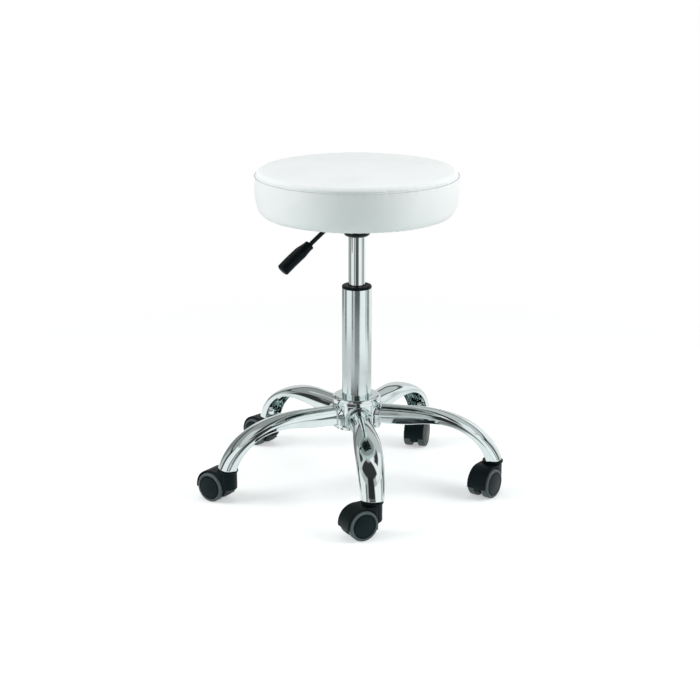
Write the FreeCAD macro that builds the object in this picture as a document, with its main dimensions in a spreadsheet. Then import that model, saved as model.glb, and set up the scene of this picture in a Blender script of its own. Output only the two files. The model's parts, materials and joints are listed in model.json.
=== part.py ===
"""Salon stool: round padded seat on a gas spring, over a five-arm base on twin-wheel castors.

Millimetres, +Z up. The origin is on the column axis, on the floor. Arm 1 points along -Y.
"""
import FreeCAD, Part
import Sketcher
import math
import os
import re

V = FreeCAD.Vector
TURN = FreeCAD.Rotation
UP = V(0, 0, 1)

# Driving dimensions, in millimetres and degrees.
SIZES = {
    # Hub and column
    "hub_foot": 104, "hub_height": 42, "hub_radius": 38, "hub_lip": 3, "hub_lip_height": 5,
    "collar_radius": 41, "collar_height": 12, "collar_round": 4,
    "column_radius": 25, "column_wall": 2, "column_taper": 0.8, "column_drop": 6,
    "column_top": 345.5, "column_floor": 4,
    "bush_flange": 4.3, "bush_reach": 90, "bush_edge": 1.5,
    # Gas spring
    "cylinder_radius": 14, "cylinder_wall": 1.5, "cylinder_showing": 83.7, "cylinder_tail": 134.8,
    "cylinder_taper": 0.8, "taper_reach": 21, "valve_reach": 30,
    "rod_radius": 5, "neck_radius": 4, "groove_depth": 0.8, "guide_length": 20,
    "piston_low": 286, "piston_length": 20, "spigot_radius": 3.5,
    "washer_thick": 1.5, "washer_radius": 13, "ball_radius": 2, "ball_circle": 8.5, "ball_count": 10,
    "buffer_height": 12, "clip_thick": 1.2, "clip_radius": 8, "clip_opening": 40,
    # Five arms, with the widths and depths of their channel at the hub, waist and end
    "arm_count": 5, "first_arm": -90, "arm_start": 29.5, "arm_top": 143, "arm_level": 100, "arm_reach": 154,
    "arm_drop": 105, "arm_foot": 59.5, "arm_wall": 2,
    "hub_width": 36, "waist_width": 46, "end_width": 38,
    "hub_depth": 29, "waist_depth": 14.5, "end_depth": 24,
    "waist_turn": 35, "end_run_on": 5, "side_share": 0.38,
    "sleeve_reach": 44, "sleeve_wall": 2.8,
    # Castors
    "stem_inset": 18.5, "stem_radius": 5, "stem_reach": 13.5, "stem_sink": 22, "stem_collar": 8,
    "stem_collar_height": 1.3, "ring_height": 4, "ring_depth": 0.9,
    "socket_radius": 8, "socket_height": 9, "socket_plate": 2.5,
    "castor_turn_1": -157, "castor_turn_2": -131.8, "castor_turn_3": -111.2, "castor_turn_4": 130.8,
    "castor_turn_5": 138.8,
    "wheel_radius": 25, "wheel_trail": 25, "wheel_width": 13.8, "tread_round": 2.2, "wheel_hub_radius": 8,
    "rim_thick": 5.5, "wheel_web": 3, "cap_radius": 20.4, "cap_depth": 2.5, "cap_dome": 1.4,
    "web_thick": 11, "hood_gap": 1.5, "hood_wall": 2.5, "hood_width": 34.5, "hood_tail": 8,
    "hood_chin": 25, "hood_corner": 8, "crown_round": 5, "nose_radius": 15.6, "nose_foot": 18,
    "nose_taper": 7, "nose_edge": 1, "nose_height": 4, "axle_radius": 3,
    # Seat mechanism, turned as a whole about the column
    "lever_turn": 200, "cup_radius": 22.5, "cup_height": 37, "cup_round": 7, "cup_flange_radius": 27,
    "cup_flange": 4.5, "chamber_radius": 15, "pin_radius": 3, "pin_dome": 1.5, "pin_showing": 6,
    "pin_tail": 24,
    "lever_radius": 3.75, "lever_tip": 4, "lever_bend": 38, "lever_round": 14, "lever_droop": 38.5,
    "lever_gap": 0.35, "pivot_radius": 2, "pivot_place": 26, "ear_wall": 4, "ear_reach": 31, "ear_depth": 13,
    "grip_start": 58, "grip_length": 65, "grip_width": 24, "grip_collar": 18, "grip_thick": 16,
    "grip_bevel": 2.5, "grip_bore": 36, "grip_shoulder": 12, "grip_nose": 6, "grip_bow": 1.5,
    "plate_thick": 3, "plate_side": 136, "plate_corner": 18, "bolt_circle": 72, "bolt_count": 4,
    "screw_radius": 3, "screw_head": 6, "screw_head_height": 3.5, "screw_slot": 1.8,
    "nut_barrel": 4, "nut_flange": 9.5, "nut_flange_thick": 1.5,
    # Seat
    "seat_radius": 170, "side_round": 120, "widest_height": 41.5, "corner_round": 20, "seam_height": 64,
    "seat_height": 78.5, "crown_radius": 2800, "shoulder_round": 12, "skin": 1.2, "hem_width": 18,
    "board_thick": 12,
    # Clearances
    "running": 0.1, "press": 0.02, "seat_gap": 0.15, "loose": 0.3,
}

doc = FreeCAD.newDocument("salon_stool")
sheet = doc.addObject("Spreadsheet::Sheet", "Sizes")
for row, (alias, number) in enumerate(SIZES.items(), 1):
    sheet.set(f"A{row}", alias)
    sheet.set(f"B{row}", str(number))
    sheet.setAlias(f"B{row}", alias)
doc.recompute()


def bound(text):
    """The expression with each size name written as a cell of the sheet."""
    return re.sub(r"[a-z_]+[0-9]*", lambda word: "Sizes." + word[0] if word[0] in SIZES else word[0], text)


def value(text):
    """The number that an expression of sizes gives."""
    return float(sheet.evalExpression(bound(text)))


# Heights and places that follow from the sizes.
HUB_TOP = "(hub_foot + hub_height)"
COLLAR_TOP = f"({HUB_TOP} + collar_height)"
COLUMN_FOOT = "(hub_foot - column_drop)"
COLUMN_FLOOR = f"({COLUMN_FOOT} + column_floor)"
COLUMN_BORE = "(column_radius - column_wall)"
BUSH_TOP = "(column_top + bush_flange)"
CUP_FOOT = f"({BUSH_TOP} + cylinder_showing)"
CYLINDER_FOOT = f"({BUSH_TOP} - cylinder_tail)"
CYLINDER_TOP = f"({CUP_FOOT} + taper_reach)"
CYLINDER_BORE = "(cylinder_radius - cylinder_wall)"
VALVE_FOOT = f"({CYLINDER_TOP} - valve_reach)"
PIN_TOP = f"({CYLINDER_TOP} + pin_showing)"
LEVER_HEIGHT = f"({PIN_TOP} + lever_gap + lever_radius)"
PLATE_FOOT = f"({CUP_FOOT} + cup_height)"
BOARD_FOOT = f"({PLATE_FOOT} + plate_thick)"
BOARD_TOP = f"({BOARD_FOOT} + board_thick)"
BALLS_FOOT = f"({COLUMN_FLOOR} + washer_thick)"
BALLS_TOP = f"({BALLS_FOOT} + 2 * ball_radius)"
SHOULDER = f"({BALLS_TOP} + washer_thick)"
STEM_CIRCLE = "(arm_level + arm_reach - stem_inset)"
HOOD_RADIUS = "(wheel_radius + hood_gap + hood_wall)"
HOOD_TOP = f"(wheel_radius + {HOOD_RADIUS})"
NOSE_TOP = f"({HOOD_TOP} + nose_height)"
HOOD_FRONT = f"(wheel_trail - {HOOD_RADIUS})"
WHEEL_INNER = "(web_thick / 2 + loose)"
WHEEL_OUTER = f"({WHEEL_INNER} + wheel_width)"
CAP_SEAT = f"({WHEEL_OUTER} - cap_depth)"


def origin_plane(body, role):
    """One of the body's own origin planes, by its role."""
    return next(part for part in body.Origin.OriginFeatures if part.Role == role)


def new_body(label):
    """A named body."""
    body = doc.addObject("PartDesign::Body", label)
    body.Label = label
    return body


def new_sketch(body, name, role, lift=None):
    """An empty sketch on an origin plane of the body, lifted along the plane's normal."""
    sketch = body.newObject("Sketcher::SketchObject", name)
    sketch.AttachmentSupport = (origin_plane(body, role), [""])
    sketch.MapMode = "FlatFace"
    if lift:
        sketch.setExpression("AttachmentOffset.Base.z", bound(lift))
    return sketch


def pin_point(sketch, geometry, end, across, up):
    """Hold one end of a line or arc at (across, up), both expressions of sizes."""
    for kind, text in (("DistanceX", across), ("DistanceY", up)):
        number = sketch.addConstraint(Sketcher.Constraint(kind, -1, 1, geometry, end, value(text)))
        sketch.setExpression(f"Constraints[{number}]", bound(text))


def arc_between(start, end, radius):
    """The arc under a half circle from start to end: it turns left if radius is positive."""
    chord = end - start
    left = V(-chord.y, chord.x, 0).normalize()
    reach = math.sqrt(radius ** 2 - chord.Length ** 2 / 4)
    centre = (start + end) / 2 + left * math.copysign(reach, radius)
    first, last = (start, end) if radius > 0 else (end, start)
    angles = [math.atan2(p.y - centre.y, p.x - centre.x) for p in (first, last)]
    return Part.ArcOfCircle(Part.Circle(centre, UP, abs(radius)), *angles)


def outline(sketch, corners):
    """A closed outline of (across, up) corners; a third item is the radius of the arc that follows."""
    points = [V(value(corner[0]), value(corner[1]), 0) for corner in corners]
    ends = []
    for index, corner in enumerate(corners):
        start, end = points[index], points[(index + 1) % len(points)]
        if len(corner) == 3:
            radius = value(corner[2])
            sketch.addGeometry(arc_between(start, end, radius))
            ends.append((1, 2) if radius > 0 else (2, 1))
        else:
            sketch.addGeometry(Part.LineSegment(start, end))
            ends.append((1, 2))
    for index, corner in enumerate(corners):
        following = (index + 1) % len(corners)
        sketch.addConstraint(
            Sketcher.Constraint("Coincident", index, ends[index][1], following, ends[following][0]))
        pin_point(sketch, index, ends[index][0], corner[0], corner[1])
        if len(corner) == 3:
            number = sketch.addConstraint(Sketcher.Constraint("Radius", index, abs(value(corner[2]))))
            sketch.setExpression(f"Constraints[{number}]", bound(f"abs({corner[2]})"))


def circle(sketch, across, up, radius):
    """A circle at (across, up)."""
    index = sketch.addGeometry(Part.Circle(V(value(across), value(up), 0), UP, value(radius)))
    pin_point(sketch, index, 3, across, up)
    number = sketch.addConstraint(Sketcher.Constraint("Radius", index, value(radius)))
    sketch.setExpression(f"Constraints[{number}]", bound(radius))


def revolve(body, corners, name, kind="Revolution"):
    """Turn an outline of (radius, height) corners about the body's Z axis, as solid or as a cut."""
    sketch = new_sketch(body, name + "_outline", "XZ_Plane")
    outline(sketch, corners)
    feature = body.newObject("PartDesign::" + kind, name)
    feature.Profile = sketch
    feature.ReferenceAxis = (sketch, ["V_Axis"])
    feature.Angle = 360
    return feature


def turned(label, corners):
    """A turned piece: one outline of (radius, height) corners about Z."""
    body = new_body(label)
    revolve(body, corners, label + "_turning")
    return body


def pad(body, sketch, length, side="One side", reverse=False):
    """Pad a sketch along its normal."""
    feature = body.newObject("PartDesign::Pad", sketch.Name + "_pad")
    feature.Profile = sketch
    feature.SideType = side
    feature.Reversed = reverse
    feature.setExpression("Length", bound(length))
    return feature


def pocket(body, sketch, length, side="One side", reverse=False):
    """Cut a sketch against its normal, and make sure that it removes something."""
    doc.recompute()
    before = body.Shape.Volume
    feature = body.newObject("PartDesign::Pocket", sketch.Name + "_pocket")
    feature.Profile = sketch
    feature.SideType = side
    feature.Reversed = reverse
    feature.setExpression("Length", bound(length))
    doc.recompute()
    if body.Shape.Volume > before - 1e-6:
        raise RuntimeError(f"{sketch.Label} cuts nothing")
    return feature


def polar(body, feature, count):
    """Repeat a feature about the body's Z axis."""
    pattern = body.newObject("PartDesign::PolarPattern", feature.Name + "_round")
    pattern.Originals = [feature]
    pattern.Axis = (origin_plane(body, "Z_Axis"), [""])
    pattern.Angle = 360
    pattern.setExpression("Occurrences", bound(count))
    body.Tip = pattern
    return pattern


def group(label, solids):
    """Several like solids in one piece."""
    feature = doc.addObject("Part::Feature", label)
    feature.Label = label
    feature.Shape = Part.makeCompound(solids)
    return feature


def turned_copy(shape, degrees):
    """A copy of a shape, turned about the column axis."""
    return shape.rotated(V(0, 0, 0), UP, degrees)


def dome_radius(edge, rise):
    """The radius of a round cap, from the radius of its edge and its height."""
    return f"(({edge}) ^ 2 + {rise} ^ 2) / (2 * {rise})"


def lathe(corners):
    """A plain solid turned about Z from (radius, height) numbers, for the pieces of a group."""
    points = [V(radius, 0, height) for radius, height in corners]
    return Part.Face(Part.makePolygon(points + points[:1])).revolve(V(0, 0, 0), UP, 360)


def arm_angle(number):
    """The direction of an arm, in degrees from +X."""
    return value("first_arm") + (number - 1) * 360 / value("arm_count")


# Hub: a turned core with five arched sleeves, bored for the arms and for the tapered column.

def arch(sketch, half_width, foot, top):
    """A channel outline seen from its end: straight sides and a half-round top, drawn as two arcs."""
    spring = f"({top} - {half_width})"
    outline(sketch, [
        (f"-{half_width}", foot), (half_width, foot), (half_width, spring, half_width),
        ("0", top, half_width), (f"-{half_width}", spring)])


def make_hub():
    body = new_body("hub_body")
    revolve(body, [
        ("0", "hub_foot"), ("hub_radius + hub_lip", "hub_foot"),
        ("hub_radius + hub_lip", "hub_foot + hub_lip_height"),
        ("hub_radius", "hub_foot + hub_lip_height + hub_lip"),
        ("hub_radius", HUB_TOP), ("0", HUB_TOP)], "hub_core")
    sleeve = new_sketch(body, "hub_sleeve", "YZ_Plane")
    arch(sleeve, "(hub_width / 2 + sleeve_wall)", "(hub_foot + hub_lip)", HUB_TOP)
    polar(body, pad(body, sleeve, "sleeve_reach"), "arm_count")
    mouth = new_sketch(body, "hub_mouth", "YZ_Plane", "arm_start")
    arch(mouth, "(hub_width / 2 + loose)", "(arm_top - hub_depth - loose)", "(arm_top + loose)")
    polar(body, pocket(body, mouth, "sleeve_reach", reverse=True), "arm_count")
    bore_foot = "(column_radius - column_taper * hub_height / (hub_height + column_drop) + press)"
    revolve(body, [
        ("0", "hub_foot"), (bore_foot, "hub_foot"), ("column_radius + press", HUB_TOP), ("0", HUB_TOP)],
        "hub_bore", "Groove")
    body.Placement.Rotation = TURN(UP, value("first_arm"))
    return [body]


def make_collar():
    return [turned("hub_collar", [
        ("column_radius + seat_gap", HUB_TOP), ("collar_radius", HUB_TOP),
        ("collar_radius", f"{COLLAR_TOP} - collar_round", "collar_round"),
        ("collar_radius - collar_round", COLLAR_TOP), ("column_radius + seat_gap", COLLAR_TOP)])]


def make_column():
    neck = "neck_radius + running"
    tube = turned("column_tube", [
        (neck, COLUMN_FOOT), ("column_radius - column_taper", COLUMN_FOOT), ("column_radius", HUB_TOP),
        ("column_radius", "column_top"), (COLUMN_BORE, "column_top"), (COLUMN_BORE, HUB_TOP),
        (f"{COLUMN_BORE} - column_taper", COLUMN_FLOOR), (neck, COLUMN_FLOOR)])
    hole = "cylinder_radius + running"
    bush = turned("guide_bush", [
        (hole, "column_top - bush_reach"), (f"{COLUMN_BORE} - press", "column_top - bush_reach"),
        (f"{COLUMN_BORE} - press", "column_top"), ("column_radius", "column_top"),
        ("column_radius", f"{BUSH_TOP} - bush_edge", "bush_edge"), ("column_radius - bush_edge", BUSH_TOP),
        (f"{hole} + bush_edge", BUSH_TOP), (hole, f"{BUSH_TOP} - bush_edge")])
    return [tube, bush]


# Gas spring: the cylinder slides on the rod's piston and turns with it on a thrust bearing.

def make_gas_spring():
    pin_hole = "pin_radius + running"
    cylinder = turned("lift_cylinder", [
        (CYLINDER_BORE, CYLINDER_FOOT), ("cylinder_radius", CYLINDER_FOOT), ("cylinder_radius", CUP_FOOT),
        ("cylinder_radius - cylinder_taper", CYLINDER_TOP), (pin_hole, CYLINDER_TOP), (pin_hole, VALVE_FOOT),
        (CYLINDER_BORE, VALVE_FOOT)])
    guide = turned("rod_guide", [
        ("rod_radius + running", CYLINDER_FOOT), (f"{CYLINDER_BORE} - press", CYLINDER_FOOT),
        (f"{CYLINDER_BORE} - press", f"{CYLINDER_FOOT} + guide_length"),
        ("rod_radius + running", f"{CYLINDER_FOOT} + guide_length")])
    groove_top = f"({COLUMN_FOOT} - running)"
    groove_foot = f"({groove_top} - clip_thick)"
    groove = "(neck_radius - groove_depth)"
    tail = f"({groove_foot} - clip_thick)"
    rod = turned("piston_rod", [
        ("0", tail), ("neck_radius", tail), ("neck_radius", groove_foot), (groove, groove_foot),
        (groove, groove_top), ("neck_radius", groove_top), ("neck_radius", SHOULDER),
        ("rod_radius", SHOULDER), ("rod_radius", "piston_low"), ("spigot_radius", "piston_low"),
        ("spigot_radius", "piston_low + piston_length"), ("0", "piston_low + piston_length")])
    piston = turned("piston", [
        ("spigot_radius + press", "piston_low"), (f"{CYLINDER_BORE} - running", "piston_low"),
        (f"{CYLINDER_BORE} - running", "piston_low + piston_length"),
        ("spigot_radius + press", "piston_low + piston_length")])
    clip = turned("rod_clip", [
        (f"{groove} + press", groove_foot), ("clip_radius", groove_foot), ("clip_radius", groove_top),
        (f"{groove} + press", groove_top)])
    doc.getObject("rod_clip_turning").setExpression("Angle", bound("(360 - clip_opening) * 1 deg"))
    buffer = turned("end_buffer", [
        ("rod_radius + loose", SHOULDER), ("washer_radius - loose", SHOULDER),
        ("washer_radius - loose", f"{SHOULDER} + buffer_height"),
        ("rod_radius + loose", f"{SHOULDER} + buffer_height")])
    pin = turned("release_pin", [
        ("0", f"{CYLINDER_TOP} - pin_tail"), ("pin_radius", f"{CYLINDER_TOP} - pin_tail"),
        ("pin_radius", f"{PIN_TOP} - pin_dome", dome_radius("pin_radius", "pin_dome")), ("0", PIN_TOP)])
    return [cylinder, guide, rod, piston, clip, buffer, pin]


def make_thrust_bearing():
    """Two washers with a ring of balls between them, round the neck of the rod."""
    hole = value("neck_radius + running")
    edge = value("washer_radius")
    thick = value("washer_thick")
    solids = [lathe([(hole, low), (edge, low), (edge, low + thick), (hole, low + thick)])
              for low in (value(COLUMN_FLOOR), value(BALLS_TOP))]
    middle = value(f"{BALLS_FOOT} + ball_radius")
    ball = Part.makeSphere(value("ball_radius - press"), V(value("ball_circle"), 0, middle))
    count = int(value("ball_count"))
    solids += [turned_copy(ball, 360 / count * place) for place in range(count)]
    return [group("thrust_bearing", solids)]


# Arms: a pressed channel that runs level from the hub and then bends down along a quarter ellipse.
# The shares of the bend, before and after the waist, where its section is drawn.
BEFORE_WAIST = (0, 0.45, 0.9)
AFTER_WAIST = (0.3, 0.65, 1)

def smooth(share):
    """A smooth step from 0 to 1."""
    share = min(max(share, 0), 1)
    return share * share * (3 - 2 * share)


def arm_stations():
    """Places along the ridge: (point, direction, half width, depth) in the arm's own X-Z plane."""
    level, reach, drop, top = (value(name) for name in ("arm_level", "arm_reach", "arm_drop", "arm_top"))
    waist = value("waist_turn")
    end = math.degrees(math.acos(1 - (top - value("arm_foot")) / drop)) + value("end_run_on")
    waist_at = level + reach * math.sin(math.radians(waist))
    sleeve = value("sleeve_reach")
    straight = [value("arm_start"), (value("arm_start") + sleeve) / 2, sleeve, (sleeve + level) / 2]
    turns = [waist * share for share in BEFORE_WAIST]
    turns += [waist + (end - waist) * share for share in AFTER_WAIST]
    ridge = [(radius, 0) for radius in straight]
    ridge += [(level + reach * math.sin(math.radians(turn)), turn) for turn in turns]
    stations = []
    for radius, turn in ridge:
        angle = math.radians(turn)
        point = V(radius, 0, top - drop * (1 - math.cos(angle)))
        along = V(reach * math.cos(angle), 0, -drop * math.sin(angle)).normalize()
        flatten = smooth((radius - straight[-1]) / (waist_at - straight[-1]))
        swell = smooth((turn - waist) / (end - waist))
        blend = [value(f"hub_{size}") + (value(f"waist_{size}") - value(f"hub_{size}")) * flatten
                 + (value(f"end_{size}") - value(f"waist_{size}")) * swell for size in ("width", "depth")]
        stations.append((point, along, blend[0] / 2, blend[1]))
    return stations


def arch_edges(point, along, half_width, depth, inset):
    """The channel's section at a station, inset by a wall: side, half-ellipse top, side."""
    inward = V(along.z, 0, -along.x)
    across = V(0, 1, 0)
    side = depth * value("side_share")
    crown = depth - side - inset
    wide = half_width - inset
    middle = point + inward * (depth - side)
    axes = sorted([across * wide, inward * -crown], key=lambda axis: -axis.Length)
    ellipse = Part.Ellipse(middle + axes[0], middle + axes[1], middle)
    ends = [middle + across * wide, middle - across * wide]
    apex = point + inward * inset
    start, stop = (ellipse.parameter(end) for end in ends)
    top = Part.ArcOfEllipse(ellipse, start, stop)
    if top.toShape().distToShape(Part.Vertex(apex))[0] > 1e-3:
        top = Part.ArcOfEllipse(ellipse, stop, start)
        ends.reverse()
    lips = [end + inward * side for end in ends]
    return lips, [Part.makeLine(lips[0], ends[0]), top.toShape(), Part.makeLine(ends[1], lips[1])]


def arm_loft(stations, walls):
    """A loft of the channel between two insets, or of its whole inside for one inset."""
    wires = []
    for station in stations:
        sides = [arch_edges(*station, inset) for inset in walls]
        edges = list(sides[0][1])
        if len(sides) == 2:
            edges.append(Part.makeLine(sides[0][0][1], sides[1][0][1]))
            edges += list(reversed(sides[1][1]))
            edges.append(Part.makeLine(sides[1][0][0], sides[0][0][0]))
        else:
            edges.append(Part.makeLine(sides[0][0][1], sides[0][0][0]))
        wires.append(Part.Wire(Part.__sortEdges__(edges)))
    return Part.makeLoft(wires, True, False)


def above(height):
    """A large block over a level, to cut the arms square to the floor."""
    span = value("arm_level + arm_reach")
    return Part.makeBox(2 * span, 2 * span, 2 * span, V(-span, -span, height))


def make_arms():
    stations = arm_stations()
    wall = value("arm_wall")
    keep = above(value("arm_foot"))
    channel = arm_loft(stations, (0, wall)).common(keep).Solids[0]
    arms = []
    for number in range(1, int(value("arm_count")) + 1):
        arm = doc.addObject("Part::Feature", f"arm_{number}")
        arm.Label = f"arm_{number}"
        arm.Shape = channel
        arm.Placement.Rotation = TURN(UP, arm_angle(number))
        arms.append(arm)
    inside = arm_loft(stations, (wall,))
    centre = V(value(STEM_CIRCLE), 0, value("arm_foot"))
    plate = Part.makeCylinder(value("end_width"), value("socket_plate"), centre)
    tube = Part.makeCylinder(value("socket_radius"), value("socket_height"), centre)
    hole = Part.makeCylinder(value("stem_radius + seat_gap"), value("socket_height"), centre)
    socket = plate.fuse(tube).common(inside).cut(hole).removeSplitter().Solids[0]
    sockets = [turned_copy(socket, arm_angle(number)) for number in range(1, len(arms) + 1)]
    return arms + [group("castor_sockets", sockets)]


# Castors: the stem stays in the arm, the hood swivels on it, and two wheels turn on one axle.

def make_stems():
    """Stem with a collar, a groove, and the split ring that grips the socket, at each arm end."""
    radius = value("stem_radius")
    foot = value("arm_foot - stem_collar_height")
    low = value(f"{NOSE_TOP} - stem_sink")
    high = value("arm_foot + stem_reach")
    collar = value("stem_collar")
    groove = radius - value("ring_depth")
    ring_low = value("arm_foot + socket_height / 2 - ring_height / 2")
    ring_high = ring_low + value("ring_height")
    stem = lathe([
        (0, low), (radius, low), (radius, foot), (collar, foot), (collar, value("arm_foot")),
        (radius, value("arm_foot")), (radius, ring_low), (groove, ring_low), (groove, ring_high),
        (radius, ring_high), (radius, high), (0, high)])
    outer = value("stem_radius + seat_gap - press")
    gap = value("press")
    ring = lathe([(groove + gap, ring_low + gap), (outer, ring_low + gap), (outer, ring_high - gap),
                  (groove + gap, ring_high - gap)])
    solids = []
    for number in range(1, int(value("arm_count")) + 1):
        angle = math.radians(arm_angle(number))
        place = V(value(STEM_CIRCLE) * math.cos(angle), value(STEM_CIRCLE) * math.sin(angle), 0)
        solids += [stem.translated(place), ring.translated(place)]
    return [group("castor_stems", solids)]


def make_hood(label):
    """Side outline padded across the wheels, a turned nose, a well for each wheel and two bores."""
    body = new_body(label)
    tail, chin = "(hood_tail * 1 deg)", "(hood_chin * 1 deg)"
    web_foot = f"(wheel_radius - {HOOD_RADIUS} * sin({chin}))"
    side = new_sketch(body, label + "_side", "XZ_Plane")
    outline(side, [
        (HOOD_FRONT, "wheel_radius", HOOD_RADIUS), (f"wheel_trail - {HOOD_RADIUS} * cos({chin})", web_foot),
        (f"wheel_trail + {HOOD_RADIUS} * cos({chin})", web_foot),
        (f"wheel_trail + {HOOD_RADIUS} * cos({tail})", f"wheel_radius - {HOOD_RADIUS} * sin({tail})",
         HOOD_RADIUS),
        ("wheel_trail", HOOD_TOP), (f"{HOOD_FRONT} + crown_round", HOOD_TOP, "crown_round"),
        (HOOD_FRONT, f"{HOOD_TOP} - crown_round")])
    pad(body, side, "hood_width", "Symmetric")
    for name, sign, arc in (("left", "-", "hood_corner"), ("right", "", "-hood_corner")):
        corner = new_sketch(body, f"{label}_{name}_corner", "XY_Plane")
        outline(corner, [
            (HOOD_FRONT, f"{sign}(hood_width / 2 - hood_corner)", arc),
            (f"{HOOD_FRONT} + hood_corner", f"{sign}hood_width / 2"), (HOOD_FRONT, f"{sign}hood_width / 2")])
        pocket(body, corner, f"2 * {HOOD_TOP}", reverse=True)
    revolve(body, [
        ("0", "nose_foot"), ("nose_radius - nose_taper", "nose_foot"),
        ("nose_radius", "nose_foot + nose_taper"),
        ("nose_radius", f"{NOSE_TOP} - nose_edge"), ("nose_radius - nose_edge", NOSE_TOP), ("0", NOSE_TOP)],
        label + "_nose")
    for name, lift, reverse in (("left", "-web_thick / 2", False), ("right", "web_thick / 2", True)):
        well = new_sketch(body, f"{label}_{name}_well", "XZ_Plane", lift)
        circle(well, "wheel_trail", "wheel_radius", "wheel_radius + hood_gap")
        pocket(body, well, "hood_width", reverse=reverse)
    bore = new_sketch(body, label + "_stem_bore", "XY_Plane", NOSE_TOP)
    circle(bore, "0", "0", "stem_radius + running")
    pocket(body, bore, "stem_sink + loose")
    axle = new_sketch(body, label + "_axle_bore", "XZ_Plane")
    circle(axle, "wheel_trail", "wheel_radius", "axle_radius")
    pocket(body, axle, "2 * hood_width", "Symmetric")
    return body


def make_wheel(label):
    """Tread, hollow inner face, hub and the seat for the cap, turned about the axle."""
    rim = "(wheel_radius - rim_thick)"
    web = f"({CAP_SEAT} - wheel_web)"
    hole = "axle_radius + running"
    return turned(label, [
        (hole, WHEEL_INNER), ("wheel_hub_radius", WHEEL_INNER), ("wheel_hub_radius", web), (rim, web),
        (rim, WHEEL_INNER), ("wheel_radius - tread_round", WHEEL_INNER, "tread_round"),
        ("wheel_radius", f"{WHEEL_INNER} + tread_round"),
        ("wheel_radius", f"{WHEEL_OUTER} - tread_round", "tread_round"),
        ("wheel_radius - tread_round", WHEEL_OUTER), ("cap_radius", WHEEL_OUTER),
        ("cap_radius", CAP_SEAT), (hole, CAP_SEAT)])


def make_cap(label):
    """Slightly domed disc that snaps into the wheel's outer face."""
    edge = "(cap_radius - seat_gap)"
    return turned(label, [
        ("0", f"{CAP_SEAT} + press"), (edge, f"{CAP_SEAT} + press"),
        (edge, WHEEL_OUTER, dome_radius(edge, "cap_dome")),
        ("0", f"{WHEEL_OUTER} + cap_dome")])


def make_castor(number):
    angle = math.radians(arm_angle(number))
    place = V(value(STEM_CIRCLE) * math.cos(angle), value(STEM_CIRCLE) * math.sin(angle), 0)
    turn = TURN(UP, value(f"castor_turn_{number}"))
    hood = make_hood(f"castor_{number}_hood")
    axle = doc.addObject("Part::Cylinder", f"castor_{number}_axle")
    axle.Label = f"castor_{number}_axle"
    axle.setExpression("Radius", bound("axle_radius - press"))
    axle.setExpression("Height", bound(f"2 * ({CAP_SEAT} - loose)"))
    hood.Placement = FreeCAD.Placement(place, turn)
    hub = place + turn.multVec(V(value("wheel_trail"), 0, value("wheel_radius")))
    pieces = [hood, axle]
    for side, lean in (("left", -90), ("right", 90)):
        wheel = make_wheel(f"castor_{number}_wheel_{side}")
        cap = make_cap(f"castor_{number}_cap_{side}")
        for piece in (wheel, cap):
            piece.Placement = FreeCAD.Placement(hub, turn * TURN(V(1, 0, 0), lean))
        pieces += [wheel, cap]
    across = turn * TURN(V(1, 0, 0), -90)
    axle_end = across.multVec(V(0, 0, value(f"{CAP_SEAT} - loose")))
    axle.Placement = FreeCAD.Placement(hub - axle_end, across)
    return pieces


# Seat mechanism: drawn with the lever along +X and turned as a whole.

def turn_seat(pieces):
    for piece in pieces:
        piece.Placement = FreeCAD.Placement(V(0, 0, 0), TURN(UP, value("lever_turn"))) * piece.Placement
    return pieces


def make_socket_cup():
    """Tapered socket with a flange for the plate, ears for the lever and a slot between them."""
    body = new_body("seat_socket")
    revolve(body, [
        ("cylinder_radius + press", CUP_FOOT), ("cup_radius - cup_round", CUP_FOOT, "cup_round"),
        ("cup_radius", f"{CUP_FOOT} + cup_round"), ("cup_radius", f"{PLATE_FOOT} - cup_flange"),
        ("cup_flange_radius", f"{PLATE_FOOT} - cup_flange"), ("cup_flange_radius", PLATE_FOOT),
        ("chamber_radius", PLATE_FOOT), ("chamber_radius", CYLINDER_TOP),
        ("cylinder_radius - cylinder_taper + press", CYLINDER_TOP)], "cup_turning")
    half_slot = "(lever_radius + loose)"
    half_ear = f"({half_slot} + ear_wall)"
    ears = new_sketch(body, "cup_ears", "YZ_Plane", "chamber_radius + ear_wall / 2")
    foot = f"({PLATE_FOOT} - ear_depth)"
    outline(ears, [(f"-{half_ear}", foot), (half_ear, foot), (half_ear, PLATE_FOOT),
                   (f"-{half_ear}", PLATE_FOOT)])
    pad(body, ears, "ear_reach - chamber_radius - ear_wall / 2")
    slot = new_sketch(body, "cup_slot", "YZ_Plane")
    outline(slot, [(f"-{half_slot}", foot), (half_slot, foot), (half_slot, PLATE_FOOT),
                   (f"-{half_slot}", PLATE_FOOT)])
    pocket(body, slot, "2 * ear_reach", reverse=True)
    hole = new_sketch(body, "cup_pivot_hole", "XZ_Plane")
    circle(hole, "pivot_place", LEVER_HEIGHT, "pivot_radius + press")
    pocket(body, hole, "4 * ear_reach", "Symmetric")
    pivot = doc.addObject("Part::Cylinder", "lever_pivot")
    pivot.Label = "lever_pivot"
    pivot.setExpression("Radius", "Sizes.pivot_radius")
    pivot.setExpression("Height", bound(f"2 * {half_ear}"))
    pivot.Placement = FreeCAD.Placement(
        V(value("pivot_place"), value(half_ear), value(LEVER_HEIGHT)), TURN(V(1, 0, 0), 90))
    return [body, pivot]


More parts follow.
